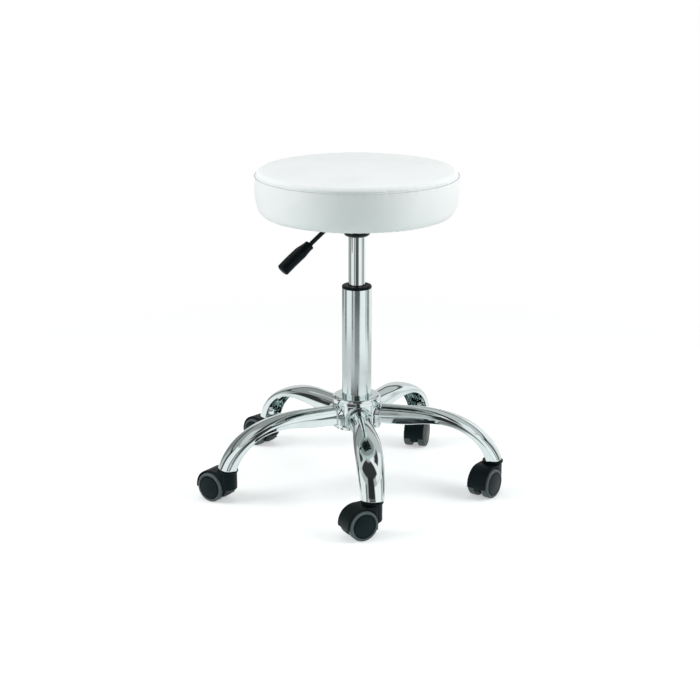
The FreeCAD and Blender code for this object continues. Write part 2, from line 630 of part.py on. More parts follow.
def make_lever():
    """A round rod, level over the release pin and bent down to the grip."""
    rod = new_body("lever_rod")
    droop = math.radians(value("lever_droop"))
    bend, height, radius = value("lever_bend"), value(LEVER_HEIGHT), value("lever_round")
    back = radius * math.tan(droop / 2)
    start = V(-value("lever_tip"), height, 0)
    first = V(bend - back, height, 0)
    last = V(bend + back * math.cos(droop), height - back * math.sin(droop), 0)
    out = value("grip_start + grip_bore")
    end = V(bend + out * math.cos(droop), height - out * math.sin(droop), 0)
    path = new_sketch(rod, "lever_path", "XZ_Plane")
    path.addGeometry([Part.LineSegment(start, first), arc_between(first, last, -radius),
                      Part.LineSegment(last, end)])
    section = new_sketch(rod, "lever_section", "YZ_Plane", "-lever_tip")
    circle(section, "0", LEVER_HEIGHT, "lever_radius")
    pipe = rod.newObject("PartDesign::AdditivePipe", "lever_pipe")
    pipe.Profile = section
    pipe.Spine = (path, ["Edge1", "Edge2", "Edge3"])
    doc.recompute()
    hole = new_sketch(rod, "lever_pivot_hole", "XZ_Plane")
    circle(hole, "pivot_place", LEVER_HEIGHT, "pivot_radius + running")
    pocket(rod, hole, "4 * lever_radius", "Symmetric")
    grip = make_grip()
    along = TURN(V(0, 1, 0), 90 + value("lever_droop"))
    grip.Placement = FreeCAD.Placement(V(bend, 0, height), along)
    return [rod, grip]


def make_grip():
    """A bevelled paddle: a collar on the rod that widens, drops a little and ends in a blunt nose."""
    body = new_body("lever_grip")
    stations = [
        ("0", "grip_collar", "0"), ("grip_shoulder", "grip_collar", "0"),
        ("grip_length / 2", "grip_width", "0"), ("grip_length - grip_nose", "grip_width", "0"),
        ("grip_length", "grip_width", "grip_nose / 2")]
    sketches = []
    for number, (out, width, inset) in enumerate(stations, 1):
        sketch = new_sketch(body, f"grip_section_{number}", "XY_Plane", f"grip_start + {out}")
        bow = f"(grip_bow * (({out}) / grip_length) ^ 2)"
        side, face = f"({width} / 2 - {inset})", f"(grip_thick / 2 - {inset})"
        low, high = f"({bow} + {face})", f"({bow} - {face})"
        outline(sketch, [
            (low, f"grip_bevel - {side}"), (low, f"{side} - grip_bevel"), (f"{low} - grip_bevel", side),
            (f"{high} + grip_bevel", side), (high, f"{side} - grip_bevel"), (high, f"grip_bevel - {side}"),
            (f"{high} + grip_bevel", f"-{side}"), (f"{low} - grip_bevel", f"-{side}")])
        sketches.append(sketch)
    loft = body.newObject("PartDesign::AdditiveLoft", "grip_loft")
    loft.Profile = sketches[0]
    loft.Sections = sketches[1:]
    loft.Ruled = True
    doc.recompute()
    bore = new_sketch(body, "grip_rod_bore", "XY_Plane", "grip_start")
    circle(bore, "0", "0", "lever_radius + press")
    pocket(body, bore, "grip_bore + press", reverse=True)
    return body


def bolt_places():
    """Where the seat bolts stand, on their circle, halfway between the lever and its quarter turns."""
    count = int(value("bolt_count"))
    angles = [math.radians(360 / count * (place + 0.5)) for place in range(count)]
    return [V(value("bolt_circle") * math.cos(a), value("bolt_circle") * math.sin(a), 0) for a in angles]


def bolt_holes(body, name, height, radius, depth, reverse=False):
    """One hole on the bolt circle, cut from a level, and its copies."""
    sketch = new_sketch(body, name, "XY_Plane", height)
    angle = "(180 / bolt_count * 1 deg)"
    circle(sketch, f"bolt_circle * cos{angle}", f"bolt_circle * sin{angle}", radius)
    return polar(body, pocket(body, sketch, depth, reverse=reverse), "bolt_count")


def make_plate():
    """Square steel plate with rounded corners and four bolt holes."""
    body = new_body("seat_plate")
    half = "(plate_side / 2)"
    flat = "(plate_side / 2 - plate_corner)"
    square = new_sketch(body, "plate_square", "XY_Plane", PLATE_FOOT)
    outline(square, [
        (f"-{flat}", f"-{half}"), (flat, f"-{half}", "plate_corner"), (half, f"-{flat}"),
        (half, flat, "plate_corner"), (flat, half), (f"-{flat}", half, "plate_corner"), (f"-{half}", flat),
        (f"-{half}", f"-{flat}", "plate_corner")])
    pad(body, square, "plate_thick")
    bolt_holes(body, "plate_holes", BOARD_FOOT, "screw_radius + loose", "2 * plate_thick")
    return [body]


def make_seat_bolts():
    """Pan-head screws from below, and the T-nuts that they pull into the board."""
    foot, top, under = value(PLATE_FOOT), value(BOARD_TOP), value(BOARD_FOOT)
    radius, head, tall = value("screw_radius"), value("screw_head"), value("screw_head_height")
    ledge = top - value("nut_flange_thick")
    rim = head - value("screw_slot") / 2
    screw = lathe([(0, foot - tall), (rim, foot - tall), (head, foot - tall / 2), (head, foot),
                   (radius, foot), (radius, ledge), (0, ledge)])
    slot = Part.makeBox(4 * head, value("screw_slot"), value("screw_slot"),
                        V(-2 * head, -value("screw_slot") / 2, foot - tall))
    screw = screw.cut(slot)
    thread, barrel, flange = value("screw_radius + press"), value("nut_barrel"), value("nut_flange")
    nut = lathe([(thread, under), (barrel, under), (barrel, ledge), (flange, ledge), (flange, top),
                 (thread, top)])
    return [group("plate_screws", [screw.translated(place) for place in bolt_places()]),
            group("t_nuts", [nut.translated(place) for place in bolt_places()])]


# Seat: plywood board, foam, and a cover sewn from a top panel and a side band.

def seat_outline(inset):
    """Centres, radii and joints of the cover's outline, moved in by an inset.

    From the hem a corner arc runs into the side arc, which ends at the seam. From the seam a shoulder
    arc runs into the crown arc, which meets the axis.
    """
    foot = value(BOARD_FOOT) - value("skin")
    corner, side = value("corner_round"), value("side_round")
    widest = value(BOARD_FOOT) + value("widest_height")
    side_centre = V(value("seat_radius") - side, 0, widest)
    sink = (widest - foot - corner) / (side - corner)
    reach = V(math.sqrt(1 - sink ** 2), 0, -sink)
    corner_centre = side_centre + reach * (side - corner)
    rise = (value(BOARD_FOOT) + value("seam_height") - widest) / side
    lean = V(math.sqrt(1 - rise ** 2), 0, rise)
    seam = side_centre + lean * side
    crown, shoulder = value("crown_radius"), value("shoulder_round")
    top = V(0, 0, value(BOARD_FOOT) + value("seat_height"))
    crown_centre = top - UP * crown
    # The shoulder's centre lies at its own radius from the seam, inside the crown arc.
    apart = seam - crown_centre
    along = (apart.Length ** 2 + (crown - shoulder) ** 2 - shoulder ** 2) / (2 * apart.Length)
    off = math.sqrt((crown - shoulder) ** 2 - along ** 2)
    unit = V(apart).normalize()
    shoulder_centre = crown_centre + unit * along + V(-unit.z, 0, unit.x) * off
    joint = (shoulder_centre - crown_centre).normalize()
    out = (seam - shoulder_centre).normalize()
    corner, side, shoulder, crown = (size - inset for size in (corner, side, shoulder, crown))

    def halfway(first, second):
        return (first + second).normalize()

    down = V(0, 0, -1)
    return {
        "under": corner_centre + down * corner,
        "corner": Part.Arc(corner_centre + down * corner, corner_centre + halfway(down, reach) * corner,
                           corner_centre + reach * corner),
        "side": Part.Arc(side_centre + reach * side, side_centre + halfway(reach, lean) * side,
                         side_centre + lean * side),
        "seam_below": side_centre + lean * side,
        "seam_above": shoulder_centre + out * shoulder,
        "shoulder": Part.Arc(shoulder_centre + out * shoulder,
                             shoulder_centre + halfway(out, joint) * shoulder,
                             shoulder_centre + joint * shoulder),
        "crown": Part.Arc(crown_centre + joint * crown, crown_centre + halfway(joint, UP) * crown,
                          crown_centre + UP * crown),
        "top": crown_centre + UP * crown,
    }


def spun(label, edges):
    """A piece turned about the column axis from a closed outline of edges."""
    shapes = [edge if isinstance(edge, Part.Edge) else edge.toShape() for edge in edges]
    wire = Part.Wire(Part.__sortEdges__(shapes))
    piece = doc.addObject("Part::Feature", label)
    piece.Label = label
    piece.Shape = Part.Face(wire).revolve(V(0, 0, 0), UP, 360)
    return piece


def make_cover():
    outer, inner = seat_outline(0), seat_outline(value("skin"))
    hem = outer["under"].x - value("hem_width")
    hem_low, hem_high = V(hem, 0, outer["under"].z), V(hem, 0, inner["under"].z)
    band = spun("cover_band", [
        Part.LineSegment(hem_low, outer["under"]), outer["corner"], outer["side"],
        Part.LineSegment(outer["seam_below"], inner["seam_below"]), inner["side"], inner["corner"],
        Part.LineSegment(inner["under"], hem_high), Part.LineSegment(hem_high, hem_low)])
    panel = spun("cover_top", [
        outer["shoulder"], outer["crown"], Part.LineSegment(outer["top"], inner["top"]), inner["crown"],
        inner["shoulder"], Part.LineSegment(inner["seam_above"], outer["seam_above"])])
    return [panel, band]


def make_foam():
    skin = value("skin") + value("seat_gap")
    shape = seat_outline(skin)
    edge = board_radius() + value("seat_gap")
    top = value(BOARD_TOP)
    inside = V(edge, 0, shape["under"].z)
    return [spun("seat_foam", [
        Part.LineSegment(V(0, 0, top), V(edge, 0, top)), Part.LineSegment(V(edge, 0, top), inside),
        Part.LineSegment(inside, shape["under"]), shape["corner"], shape["side"],
        Part.LineSegment(shape["seam_below"], shape["seam_above"]), shape["shoulder"], shape["crown"],
        Part.LineSegment(shape["top"], V(0, 0, top))])]


def board_radius():
    """The board ends just inside the cover's bottom corner."""
    return seat_outline(0)["under"].x - value("loose") - value("seat_gap")


def make_board():
    body = new_body("seat_board")
    disc = new_sketch(body, "board_disc", "XY_Plane", BOARD_FOOT)
    circle(disc, "0", "0", repr(board_radius()))
    pad(body, disc, "board_thick")
    bolt_holes(body, "board_holes", BOARD_TOP, "nut_barrel + press", "2 * board_thick")
    bolt_holes(body, "nut_seats", BOARD_TOP, "nut_flange + seat_gap", "nut_flange_thick")
    return [body]


def build():
    """Every piece of the stool."""
    pieces = make_hub() + make_collar() + make_column() + make_gas_spring() + make_thrust_bearing()
    pieces += make_arms() + make_stems()
    for number in range(1, int(value("arm_count")) + 1):
        pieces += make_castor(number)
    mechanism = make_socket_cup() + make_lever() + make_plate() + make_seat_bolts() + make_board()
    return pieces + turn_seat(mechanism) + make_cover() + make_foam()


def write(pieces):
    """Check the document and each piece, then write one file for each piece."""
    doc.recompute()
    failed = [item.Label for item in doc.Objects if {"Invalid", "Error"} & set(item.State)]
    failed += [piece.Label for piece in pieces if piece.Shape.isNull() or not piece.Shape.isValid()]
    if failed:
        raise RuntimeError(f"these did not build: {failed}")
    os.makedirs("parts", exist_ok=True)
    for piece in pieces:
        piece.Shape.exportStep(f"parts/{piece.Label}.step")
    print(len(pieces), "pieces written")


write(build())
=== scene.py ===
# %% [markdown]
# # A salon stool
# The CAD model already says where every solid is and how it moves. This file gives the stool its looks:
# bright chrome arms and column, black plastic castors and grip, and a white padded seat. Each step below
# says what the real piece is, how it could be made in Blender, and why it is made the way it is.

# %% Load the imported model
import json
import math

import bmesh
import bpy
import numpy as np
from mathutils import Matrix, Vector


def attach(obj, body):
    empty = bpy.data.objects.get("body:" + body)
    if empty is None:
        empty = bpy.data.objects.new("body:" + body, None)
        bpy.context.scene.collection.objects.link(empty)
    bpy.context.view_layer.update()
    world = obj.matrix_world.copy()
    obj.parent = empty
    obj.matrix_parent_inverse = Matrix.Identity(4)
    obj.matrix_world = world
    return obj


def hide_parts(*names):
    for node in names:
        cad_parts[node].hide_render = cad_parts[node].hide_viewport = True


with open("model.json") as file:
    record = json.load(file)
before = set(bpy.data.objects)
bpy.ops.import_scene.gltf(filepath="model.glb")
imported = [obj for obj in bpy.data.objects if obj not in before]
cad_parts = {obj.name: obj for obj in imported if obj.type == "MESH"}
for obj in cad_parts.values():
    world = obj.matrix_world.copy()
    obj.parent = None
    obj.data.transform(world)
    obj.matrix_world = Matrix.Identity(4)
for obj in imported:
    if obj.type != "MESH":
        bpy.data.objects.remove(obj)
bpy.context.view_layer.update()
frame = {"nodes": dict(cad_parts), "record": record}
nodes = frame["nodes"]
scene = bpy.context.scene
scene.view_settings.view_transform = "Standard"
MM = 0.001

# %% [markdown]
# ## Grids and outlines
# Nearly every piece of a stool is turned, bent from sheet or swept along a path. All of these are grids:
# one parameter runs round the section and the other along the piece. A grid could be drawn with primitives
# and modifiers, but whole arrays are shorter and exact, and they follow the CAD sizes to the millimetre.

# %% Grid helpers


def smooth(share):
    """A smooth step: 3 s^2 - 2 s^3 between 0 and 1."""
    share = np.clip(share, 0, 1)
    return share * share * (3 - 2 * share)


def unit(vectors):
    """Vectors divided by their lengths."""
    return vectors / np.maximum(np.linalg.norm(vectors, axis=-1, keepdims=True), 1e-12)


def quads(rows, columns, wrap_rows=False, wrap_columns=False):
    """Faces of a grid: each joins a point to the next column, the next row and the next of both."""
    row = np.arange(rows if wrap_rows else rows - 1)[:, None]
    column = np.arange(columns if wrap_columns else columns - 1)[None, :]
    below, beside = (row + 1) % rows, (column + 1) % columns
    here, there = row * columns, below * columns
    return np.stack([here + column, here + beside, there + beside, there + column], -1).reshape(-1, 4)


def ladder(count, start):
    """Faces that close the end of a band: point i of a closed loop is joined to point count - 1 - i."""
    i = np.arange(count // 2 - 1)
    return np.stack([i, i + 1, count - 2 - i, count - 1 - i], -1) + start


def closed_band(rows, loop):
    """Faces of a closed loop of points carried along rows, with a ladder over each end."""
    return np.concatenate([quads(rows, loop, False, True), ladder(loop, 0), ladder(loop, (rows - 1) * loop)])


def rounded(corners, steps=7):
    """A closed outline of (across, up, radius) corners: each corner becomes an arc of its radius.

    The arc starts radius * tan(half the turn) before the corner. A point a quarter of the radius outside
    each end of the arc keeps the flat runs flat when they are shaded smooth.
    """
    corners = np.array(corners, float)
    at, radius = corners[:, :2], corners[:, 2]
    into, out = unit(at - np.roll(at, 1, 0)), unit(np.roll(at, -1, 0) - at)
    turned = np.arctan2(into[:, 0] * out[:, 1] - into[:, 1] * out[:, 0], (into * out).sum(1))
    back = radius * np.tan(np.abs(turned) / 2)
    normal = np.stack([-into[:, 1], into[:, 0]], -1) * np.sign(turned)[:, None]
    centre = at - into * back[:, None] + normal * radius[:, None]
    angle = turned[:, None] * np.linspace(0, 1, steps)
    spoke = -normal * radius[:, None]
    arc = centre[:, None] + np.stack([spoke[:, :1] * np.cos(angle) - spoke[:, 1:] * np.sin(angle),
                                      spoke[:, :1] * np.sin(angle) + spoke[:, 1:] * np.cos(angle)], -1)
    keep = (back + radius / 4)[:, None]
    return np.concatenate([(at - into * keep)[:, None], arc, (at + out * keep)[:, None]], 1).reshape(-1, 2)


def lathe(outline, count=128, closed=True):
    """Turn (radius, height) points about Z: each goes to (r cos a, r sin a, h).

    A closed outline joins its last point to its first, and an open one ends on the axis.
    """
    angle = np.arange(count)[:, None] * 2 * np.pi / count
    radius, height = outline[:, 0] * MM, outline[:, 1] * MM
    grid = np.stack([radius * np.cos(angle), radius * np.sin(angle), height + 0 * angle], -1)
    return grid, quads(count, len(outline), True, closed)


def arc_points(centre, radius, first, last, count):
    """Points on an arc, from one angle in degrees to another."""
    angle = np.radians(np.linspace(first, last, count))
    return np.array(centre) + radius * np.stack([np.cos(angle), np.sin(angle)], -1)


def turned_about_z(points, degrees, shift=(0, 0, 0)):
    """Points turned about the Z axis and then shifted."""
    angle = math.radians(degrees)
    cos, sin = math.cos(angle), math.sin(angle)
    x, y, z = points[..., 0], points[..., 1], points[..., 2]
    return np.stack([cos * x - sin * y, sin * x + cos * y, z], -1) + np.array(shift)


print("grid helpers ready")

# %% [markdown]
# ## Meshes that ride on the CAD bodies
# A grid that closes on an axis has many points in one place there, and a shell can come out with its faces
# turned inwards. Both could be mended by hand in Edit Mode. One helper does it for every piece, so none is
# forgotten, and another says which CAD body the piece moves with and which CAD nodes it stands in for.

# %% Put a piece into the scene


def merged_mesh(name, points, faces):
    """A mesh of these points and faces, with its doubles merged and its faces turned outwards."""
    mesh = bpy.data.meshes.new(name)
    mesh.from_pydata(points.tolist(), [], faces.tolist())
    shell = bmesh.new()
    shell.from_mesh(mesh)
    bmesh.ops.remove_doubles(shell, verts=shell.verts, dist=1e-6)
    bmesh.ops.recalc_face_normals(shell, faces=shell.faces)
    shell.to_mesh(mesh)
    shell.free()
    return mesh


def add_piece(name, parts, body, finish, replaced=()):
    """One object from (points, faces) grids, with one finish, riding on a CAD body."""
    points = np.concatenate([grid.reshape(-1, 3) for grid, faces in parts])
    starts = np.cumsum([0] + [grid.size // 3 for grid, faces in parts[:-1]])
    faces = np.concatenate([faces + start for (grid, faces), start in zip(parts, starts)])
    mesh = merged_mesh(name, points, faces)
    mesh.shade_smooth()
    mesh.materials.append(finish)
    piece = bpy.data.objects.new(name, mesh)
    scene.collection.objects.link(piece)
    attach(piece, body)
    if replaced:
        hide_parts(*replaced)
    return piece


# %% [markdown]
# ## Finishes
# A flat colour looks like a stand-in, so each finish carries what the real surface shows close to: smudges
# and a slight waviness in chrome, the pebbled grain of vinyl, the spark-eroded grain of moulded plastic.
# All patterns read Object coordinates, in metres, so their grain has its real size on every piece.

# %% Shader helpers


def new_finish(name, **sockets):
    """A material, and its shader with these plain socket values."""
    material = bpy.data.materials.new(name)
    material.use_nodes = True
    shader = material.node_tree.nodes["Principled BSDF"]
    for socket, value in sockets.items():
        shader.inputs[socket.replace("_", " ")].default_value = value
    return material, shader


def add_node(material, kind, inputs, **settings):
    """A node with its settings, and its inputs set to values or linked to other nodes' outputs."""
    made = material.node_tree.nodes.new(kind)
    for key, value in settings.items():
        setattr(made, key, value)
    for socket, value in inputs.items():
        if isinstance(value, bpy.types.NodeSocket):
            material.node_tree.links.new(value, made.inputs[socket])
        else:
            made.inputs[socket].default_value = value
    return made


def object_place(material, stretch=(1, 1, 1)):
    """Object coordinates in metres, stretched for a pattern that runs one way."""
    place = add_node(material, "ShaderNodeTexCoord", {}).outputs["Object"]
    return add_node(material, "ShaderNodeMapping", {"Vector": place, "Scale": stretch}).outputs["Vector"]


def noise(material, scale, detail=3.0, stretch=(1, 1, 1)):
    """Noise with a given number of blotches to the metre."""
    place = object_place(material, stretch)
    inputs = {"Vector": place, "Scale": scale, "Detail": detail, "Roughness": 0.6}
    return add_node(material, "ShaderNodeTexNoise", inputs).outputs["Fac"]


def ranged(material, value, low, high, first=0.35, last=0.65):
    """A pattern's middle range carried on to low..high."""
    inputs = {"Value": value, "From Min": first, "From Max": last, "To Min": low, "To Max": high}
    return add_node(material, "ShaderNodeMapRange", inputs).outputs["Result"]


def tinted(material, value, low, high):
    """Two colours mixed by a pattern's middle range: sockets 0, 6 and 7 are the factor and the colours."""
    inputs = {0: ranged(material, value, 0, 1), 6: (*low, 1), 7: (*high, 1)}
    return add_node(material, "ShaderNodeMix", inputs, data_type="RGBA").outputs[2]


def bump(material, height, strength, distance, under=None):
    """A bump of a given depth in metres, on top of another one."""
    inputs = {"Height": height, "Strength": strength, "Distance": distance}
    if under:
        inputs["Normal"] = under
    return add_node(material, "ShaderNodeBump", inputs).outputs["Normal"]


def wire(material, shader, **outputs):
    """Link outputs to the shader's sockets by name."""
    for socket, output in outputs.items():
        material.node_tree.links.new(output, shader.inputs[socket.replace("_", " ")])
    return material


print("shader helpers ready")

# %% [markdown]
# ### Metals
# Chrome is a mirror with a faint cool tint. A perfect mirror would be one node, but it looks too clean, so
# smudges change its tone and blur, and slow waves bend what it shows, more on the pressed arms than on the
# turned tubes. The socket and the lever are powder coated: black, with orange peel.

# %% Metal finishes


def chrome_finish(name, waviness, blur, dark, pale):
    """Chrome: smudges change the tone and the gloss a little, and pressing leaves slow waves."""
    material, shader = new_finish(name, Metallic=1.0)
    smudges = noise(material, 26, 5)
    waves = bump(material, noise(material, 14, 1), 1.0, waviness)
    return wire(material, shader, Base_Color=tinted(material, smudges, dark, pale),
                Roughness=ranged(material, smudges, blur, blur + 0.045), Normal=waves)


def steel_finish():
    """Turned steel: fine rings of tool marks along Z."""
    material, shader = new_finish("turned_steel", Metallic=1.0)
    rings = noise(material, 60, 4, (1, 1, 40))
    return wire(material, shader, Base_Color=tinted(material, rings, (0.42, 0.43, 0.44), (0.6, 0.61, 0.62)),
                Roughness=ranged(material, rings, 0.22, 0.4), Normal=bump(material, rings, 0.2, 0.0001))


COOL_GLOSS = (0.55, 0.92, 1.0, 1)


def painted_metal_finish():
    """Black powder coat: orange peel, with a thin clear gloss over it."""
    material, shader = new_finish("black_powder_coat", Specular_IOR_Level=0.24, Specular_Tint=COOL_GLOSS,
                                  Coat_Weight=0.03, Coat_Roughness=0.25)
    peel = noise(material, 900, 2)
    patches = noise(material, 30, 4)
    colour = tinted(material, patches, (0.005, 0.0055, 0.0057), (0.009, 0.0098, 0.01))
    return wire(material, shader, Base_Color=colour, Roughness=ranged(material, patches, 0.32, 0.45),
                Normal=bump(material, peel, 0.25, 0.0001))


chrome = chrome_finish("chrome_tube", 0.00002, 0.025, (0.7, 0.785, 0.78), (0.77, 0.845, 0.84))
drawn_chrome = chrome_finish("chrome_drawn_tube", 0.00002, 0.12, (0.69, 0.79, 0.785), (0.75, 0.84, 0.835))
pressed_chrome = chrome_finish("chrome_pressing", 0.00006, 0.025, (0.69, 0.785, 0.78), (0.765, 0.85, 0.845))
steel = steel_finish()
black_metal = painted_metal_finish()
print("metals:", chrome.name, drawn_chrome.name, pressed_chrome.name, steel.name, black_metal.name)

# %% [markdown]
# ### Plastics, vinyl and wood
# Mouldings, treads and thread differ in colour, gloss and grain only, so one function makes them all. Vinyl
# has Voronoi pebbles under fine pores, and the board has long grain. Image textures would need picture
# files and UV maps, while these patterns stay sharp at any distance.

# %% Plastic, rubber, wood and vinyl finishes


def plastic_finish(name, dark, pale, gloss, grain):
    """Moulded plastic: spark-eroded grain, faint flow marks in the colour, scuffs in the gloss."""
    material, shader = new_finish(name, Specular_IOR_Level=0.16, Specular_Tint=COOL_GLOSS)
    flow = noise(material, 35, 4)
    fine = noise(material, grain, 2)
    return wire(material, shader, Base_Color=tinted(material, flow, dark, pale),
                Roughness=ranged(material, flow, gloss, gloss + 0.14),
                Normal=bump(material, fine, 0.3, 0.00012))


def vinyl_finish():
    """Upholstery vinyl: pebbles about a millimetre across with fine pores, and slow changes of tone."""
    material, shader = new_finish("white_vinyl", Specular_IOR_Level=0.4)
    tone = noise(material, 9, 3)
    gloss = noise(material, 45, 3)
    cells = add_node(material, "ShaderNodeTexVoronoi", {"Vector": object_place(material), "Scale": 950.0})
    pebbles = bump(material, cells.outputs["Distance"], 0.35, 0.00012)
    pores = bump(material, noise(material, 2600, 2), 0.2, 0.00006, pebbles)
    return wire(material, shader, Base_Color=tinted(material, tone, (0.82, 0.845, 0.84), (0.86, 0.88, 0.875)),
                Roughness=ranged(material, gloss, 0.4, 0.52), Normal=pores)


def wood_finish():
    """Plywood face, primed grey: long grain along X shows through between two tones."""
    material, shader = new_finish("plywood")
    grain = noise(material, 26, 5, (1, 14, 14))
    colour = tinted(material, grain, (0.42, 0.425, 0.415), (0.5, 0.505, 0.495))
    return wire(material, shader, Base_Color=colour, Roughness=ranged(material, grain, 0.55, 0.75),
                Normal=bump(material, grain, 0.3, 0.0002))


black_plastic = plastic_finish("black_moulding", (0.0016, 0.0026, 0.003), (0.003, 0.0046, 0.005), 0.36, 1500)
tread_plastic = plastic_finish("grey_tread", (0.065, 0.078, 0.08), (0.1, 0.115, 0.118), 0.5, 1100)
cap_plastic = plastic_finish("black_cap", (0.0026, 0.0045, 0.0052), (0.005, 0.0078, 0.0088), 0.28, 1900)
rubber = plastic_finish("black_rubber", (0.012, 0.012, 0.012), (0.02, 0.02, 0.02), 0.65, 800)
# The thread is white; its grey colour is painted shade, so the stitch row reads as dark dashes like shaded
# needle holes.
thread = plastic_finish("white_thread_painted_shade", (0.4, 0.43, 0.43), (0.48, 0.51, 0.51), 0.6, 3000)
foam = plastic_finish("cut_foam", (0.66, 0.58, 0.36), (0.78, 0.7, 0.48), 0.85, 500)
vinyl = vinyl_finish()
plywood = wood_finish()
finishes = {"chrome": chrome, "steel": steel, "black_metal": black_metal, "black_plastic": black_plastic,
            "tread": tread_plastic, "cap": cap_plastic, "rubber": rubber, "plywood": plywood, "foam": foam,
            "vinyl": vinyl}
for part in frame["record"]["subparts"]:
    nodes[part["node"]].data.materials.clear()
    nodes[part["node"]].data.materials.append(finishes[part["material_slot"]])
print(len(finishes), "finishes on", len(nodes), "nodes")

# %% [markdown]
# ## Column, bush, lift cylinder and collar
# These are turned tubes and rings. A cylinder primitive would do for the walls, but the look of chrome tube
# is in its small rounded rims, which catch a line of light. So each is one outline with rounded corners,
# turned about Z.

# %% Turned pieces on the column axis
HUB_TOP, COLUMN_TOP, BUSH_TOP, CUP_FOOT, CYLINDER_TOP = 146.0, 345.5, 349.8, 433.5, 454.5
COLUMN_FOOT, COLUMN_FLOOR, COLUMN_RADIUS, COLUMN_BORE, ROD_HOLE = 98.0, 102.0, 25.0, 23.0, 4.1
BUSH_FOOT, BUSH_RADIUS, BUSH_BORE = 256.0, 22.95, 14.1
LIFT_FOOT, LIFT_END, LIFT_RADIUS, LIFT_BORE, PIN_HOLE = 215.0, 424.5, 14.0, 12.5, 3.1
COLLAR_TOP, COLLAR_RADIUS, COLLAR_BORE = 158.0, 41.0, 25.15
TAPER, TUBE_COUNT, LIFT_COUNT = 0.8, 192, 144

column = rounded([(ROD_HOLE, COLUMN_FOOT, 0.3), (COLUMN_RADIUS - TAPER, COLUMN_FOOT, 0.8),
                  (COLUMN_RADIUS, HUB_TOP, 0), (COLUMN_RADIUS, COLUMN_TOP, 0.5),
                  (COLUMN_BORE, COLUMN_TOP, 0.5), (COLUMN_BORE, HUB_TOP, 0),
                  (COLUMN_BORE - TAPER, COLUMN_FLOOR, 0.5), (ROD_HOLE, COLUMN_FLOOR, 0.3)])
add_piece("column_shell", [lathe(column, TUBE_COUNT)], "base", drawn_chrome, ["column_tube"])
bush = rounded([(BUSH_BORE, BUSH_FOOT, 0.4), (BUSH_RADIUS, BUSH_FOOT, 0.4), (BUSH_RADIUS, COLUMN_TOP, 0),
                (COLUMN_RADIUS, COLUMN_TOP, 0.3), (COLUMN_RADIUS, BUSH_TOP, 2.2), (BUSH_BORE, BUSH_TOP, 1.6)])
add_piece("bush_shell", [lathe(bush, TUBE_COUNT)], "base", black_plastic, ["guide_bush"])
cylinder = rounded([(LIFT_BORE, LIFT_FOOT, 0.3), (LIFT_RADIUS, LIFT_FOOT, 0.5), (LIFT_RADIUS, CUP_FOOT, 0),
                    (LIFT_RADIUS - TAPER, CYLINDER_TOP, 0.5), (PIN_HOLE, CYLINDER_TOP, 0.2),
                    (PIN_HOLE, LIFT_END, 0), (LIFT_BORE, LIFT_END, 0.5)])
add_piece("cylinder_shell", [lathe(cylinder, LIFT_COUNT)], "seat", chrome, ["lift_cylinder"])
collar = rounded([(COLLAR_BORE, HUB_TOP, 0.3), (COLLAR_RADIUS, HUB_TOP, 1.2),
                  (COLLAR_RADIUS, COLLAR_TOP, 4.6), (COLLAR_BORE, COLLAR_TOP, 0.8)], 10)
add_piece("collar_shell", [lathe(collar, TUBE_COUNT)], "base", chrome, ["hub_collar"])
print("column, bush, cylinder and collar turned")

# %% [markdown]
# ## Hub
# The hub is a drum with five arched sleeves that grip the arms. Joining solids with booleans leaves sharp
# inner corners, while the real casting has soft ones. Seen from the axis, the hub is a height field: for
# each angle and height there is one radius. The drum and the sleeves are blended with a soft maximum, which
# gives the fillets. The end of each sleeve is sunk round the arm that slides into it, and a thin ring of
# black paint inside the sunk end is painted shade for the dark gap there.

# %% The hub as radius over angle and height
ARM_COUNT, FIRST_ARM = 5, -90.0
HUB_FOOT, HUB_EDGE, HUB_BORE, HUB_BORE_FOOT, HUB_COUNT = 104.0, 0.5, 25.02, 24.4, 720
DRUM, LIP, LIP_FROM, LIP_FADE = 38.0, 3.0, 108.5, 3.5
SLEEVE_HALF, SLEEVE_FOOT, SLEEVE_END, SLEEVE_ROUND = 20.8, 107.0, 44.0, 1.2
RECESS, RECESS_EDGE, PAINTED_SHADE_WIDTH, FILLET, RECESS_FILLET = 2.0, 1.3, 1.7, 2.5, 0.1
SLEEVE_SPRING = HUB_TOP - SLEEVE_HALF


def soft_max(first, second, blend):
    """The larger of two values, with a round of the given size where they are equal."""
    mix = np.clip(0.5 + 0.5 * (first - second) / blend, 0, 1)
    return second + (first - second) * mix + blend * mix * (1 - mix)


def hub_radius(angle, height):
    """Soft maximum of the drum, with its lip, and the nearest sleeve, and the outer part of the sunk ends.

    In the sleeve's own directions a point is (r cos a, r sin a). The sleeve ends at the smaller of
    end / cos a and half width / sin a, where the half width follows the arch. The end is sunk where a point
    lies further inside the arch than the sleeve's edge is wide.
    """
    drum = DRUM + LIP * (1 - smooth((height - LIP_FROM) / LIP_FADE))
    spread = 2 * np.pi / ARM_COUNT
    off = (angle - math.radians(FIRST_ARM) + spread / 2) % spread - spread / 2
    rise = np.clip(height - SLEEVE_SPRING, 0, None)
    arch = np.sqrt(np.clip(SLEEVE_HALF ** 2 - rise ** 2, 0, None))
    side = arch / np.maximum(np.abs(np.sin(off)), 1e-6)
    end = SLEEVE_END / np.cos(off)
    inside = SLEEVE_HALF - np.hypot(end * np.sin(off), rise)
    sunk = smooth((inside - RECESS_EDGE) / 0.5) * smooth(height - SLEEVE_FOOT)
    sleeve = -soft_max(-side, RECESS * sunk - end, SLEEVE_ROUND) * smooth(height - SLEEVE_FOOT + 0.5)
    # A thin ring inside each sunk end: the mask of the black painted shade for the gap round the arm.
    line = sunk * (1 - smooth((inside - RECESS_EDGE - PAINTED_SHADE_WIDTH) / 0.3))
    return soft_max(drum, sleeve, FILLET - (FILLET - RECESS_FILLET) * sunk), line


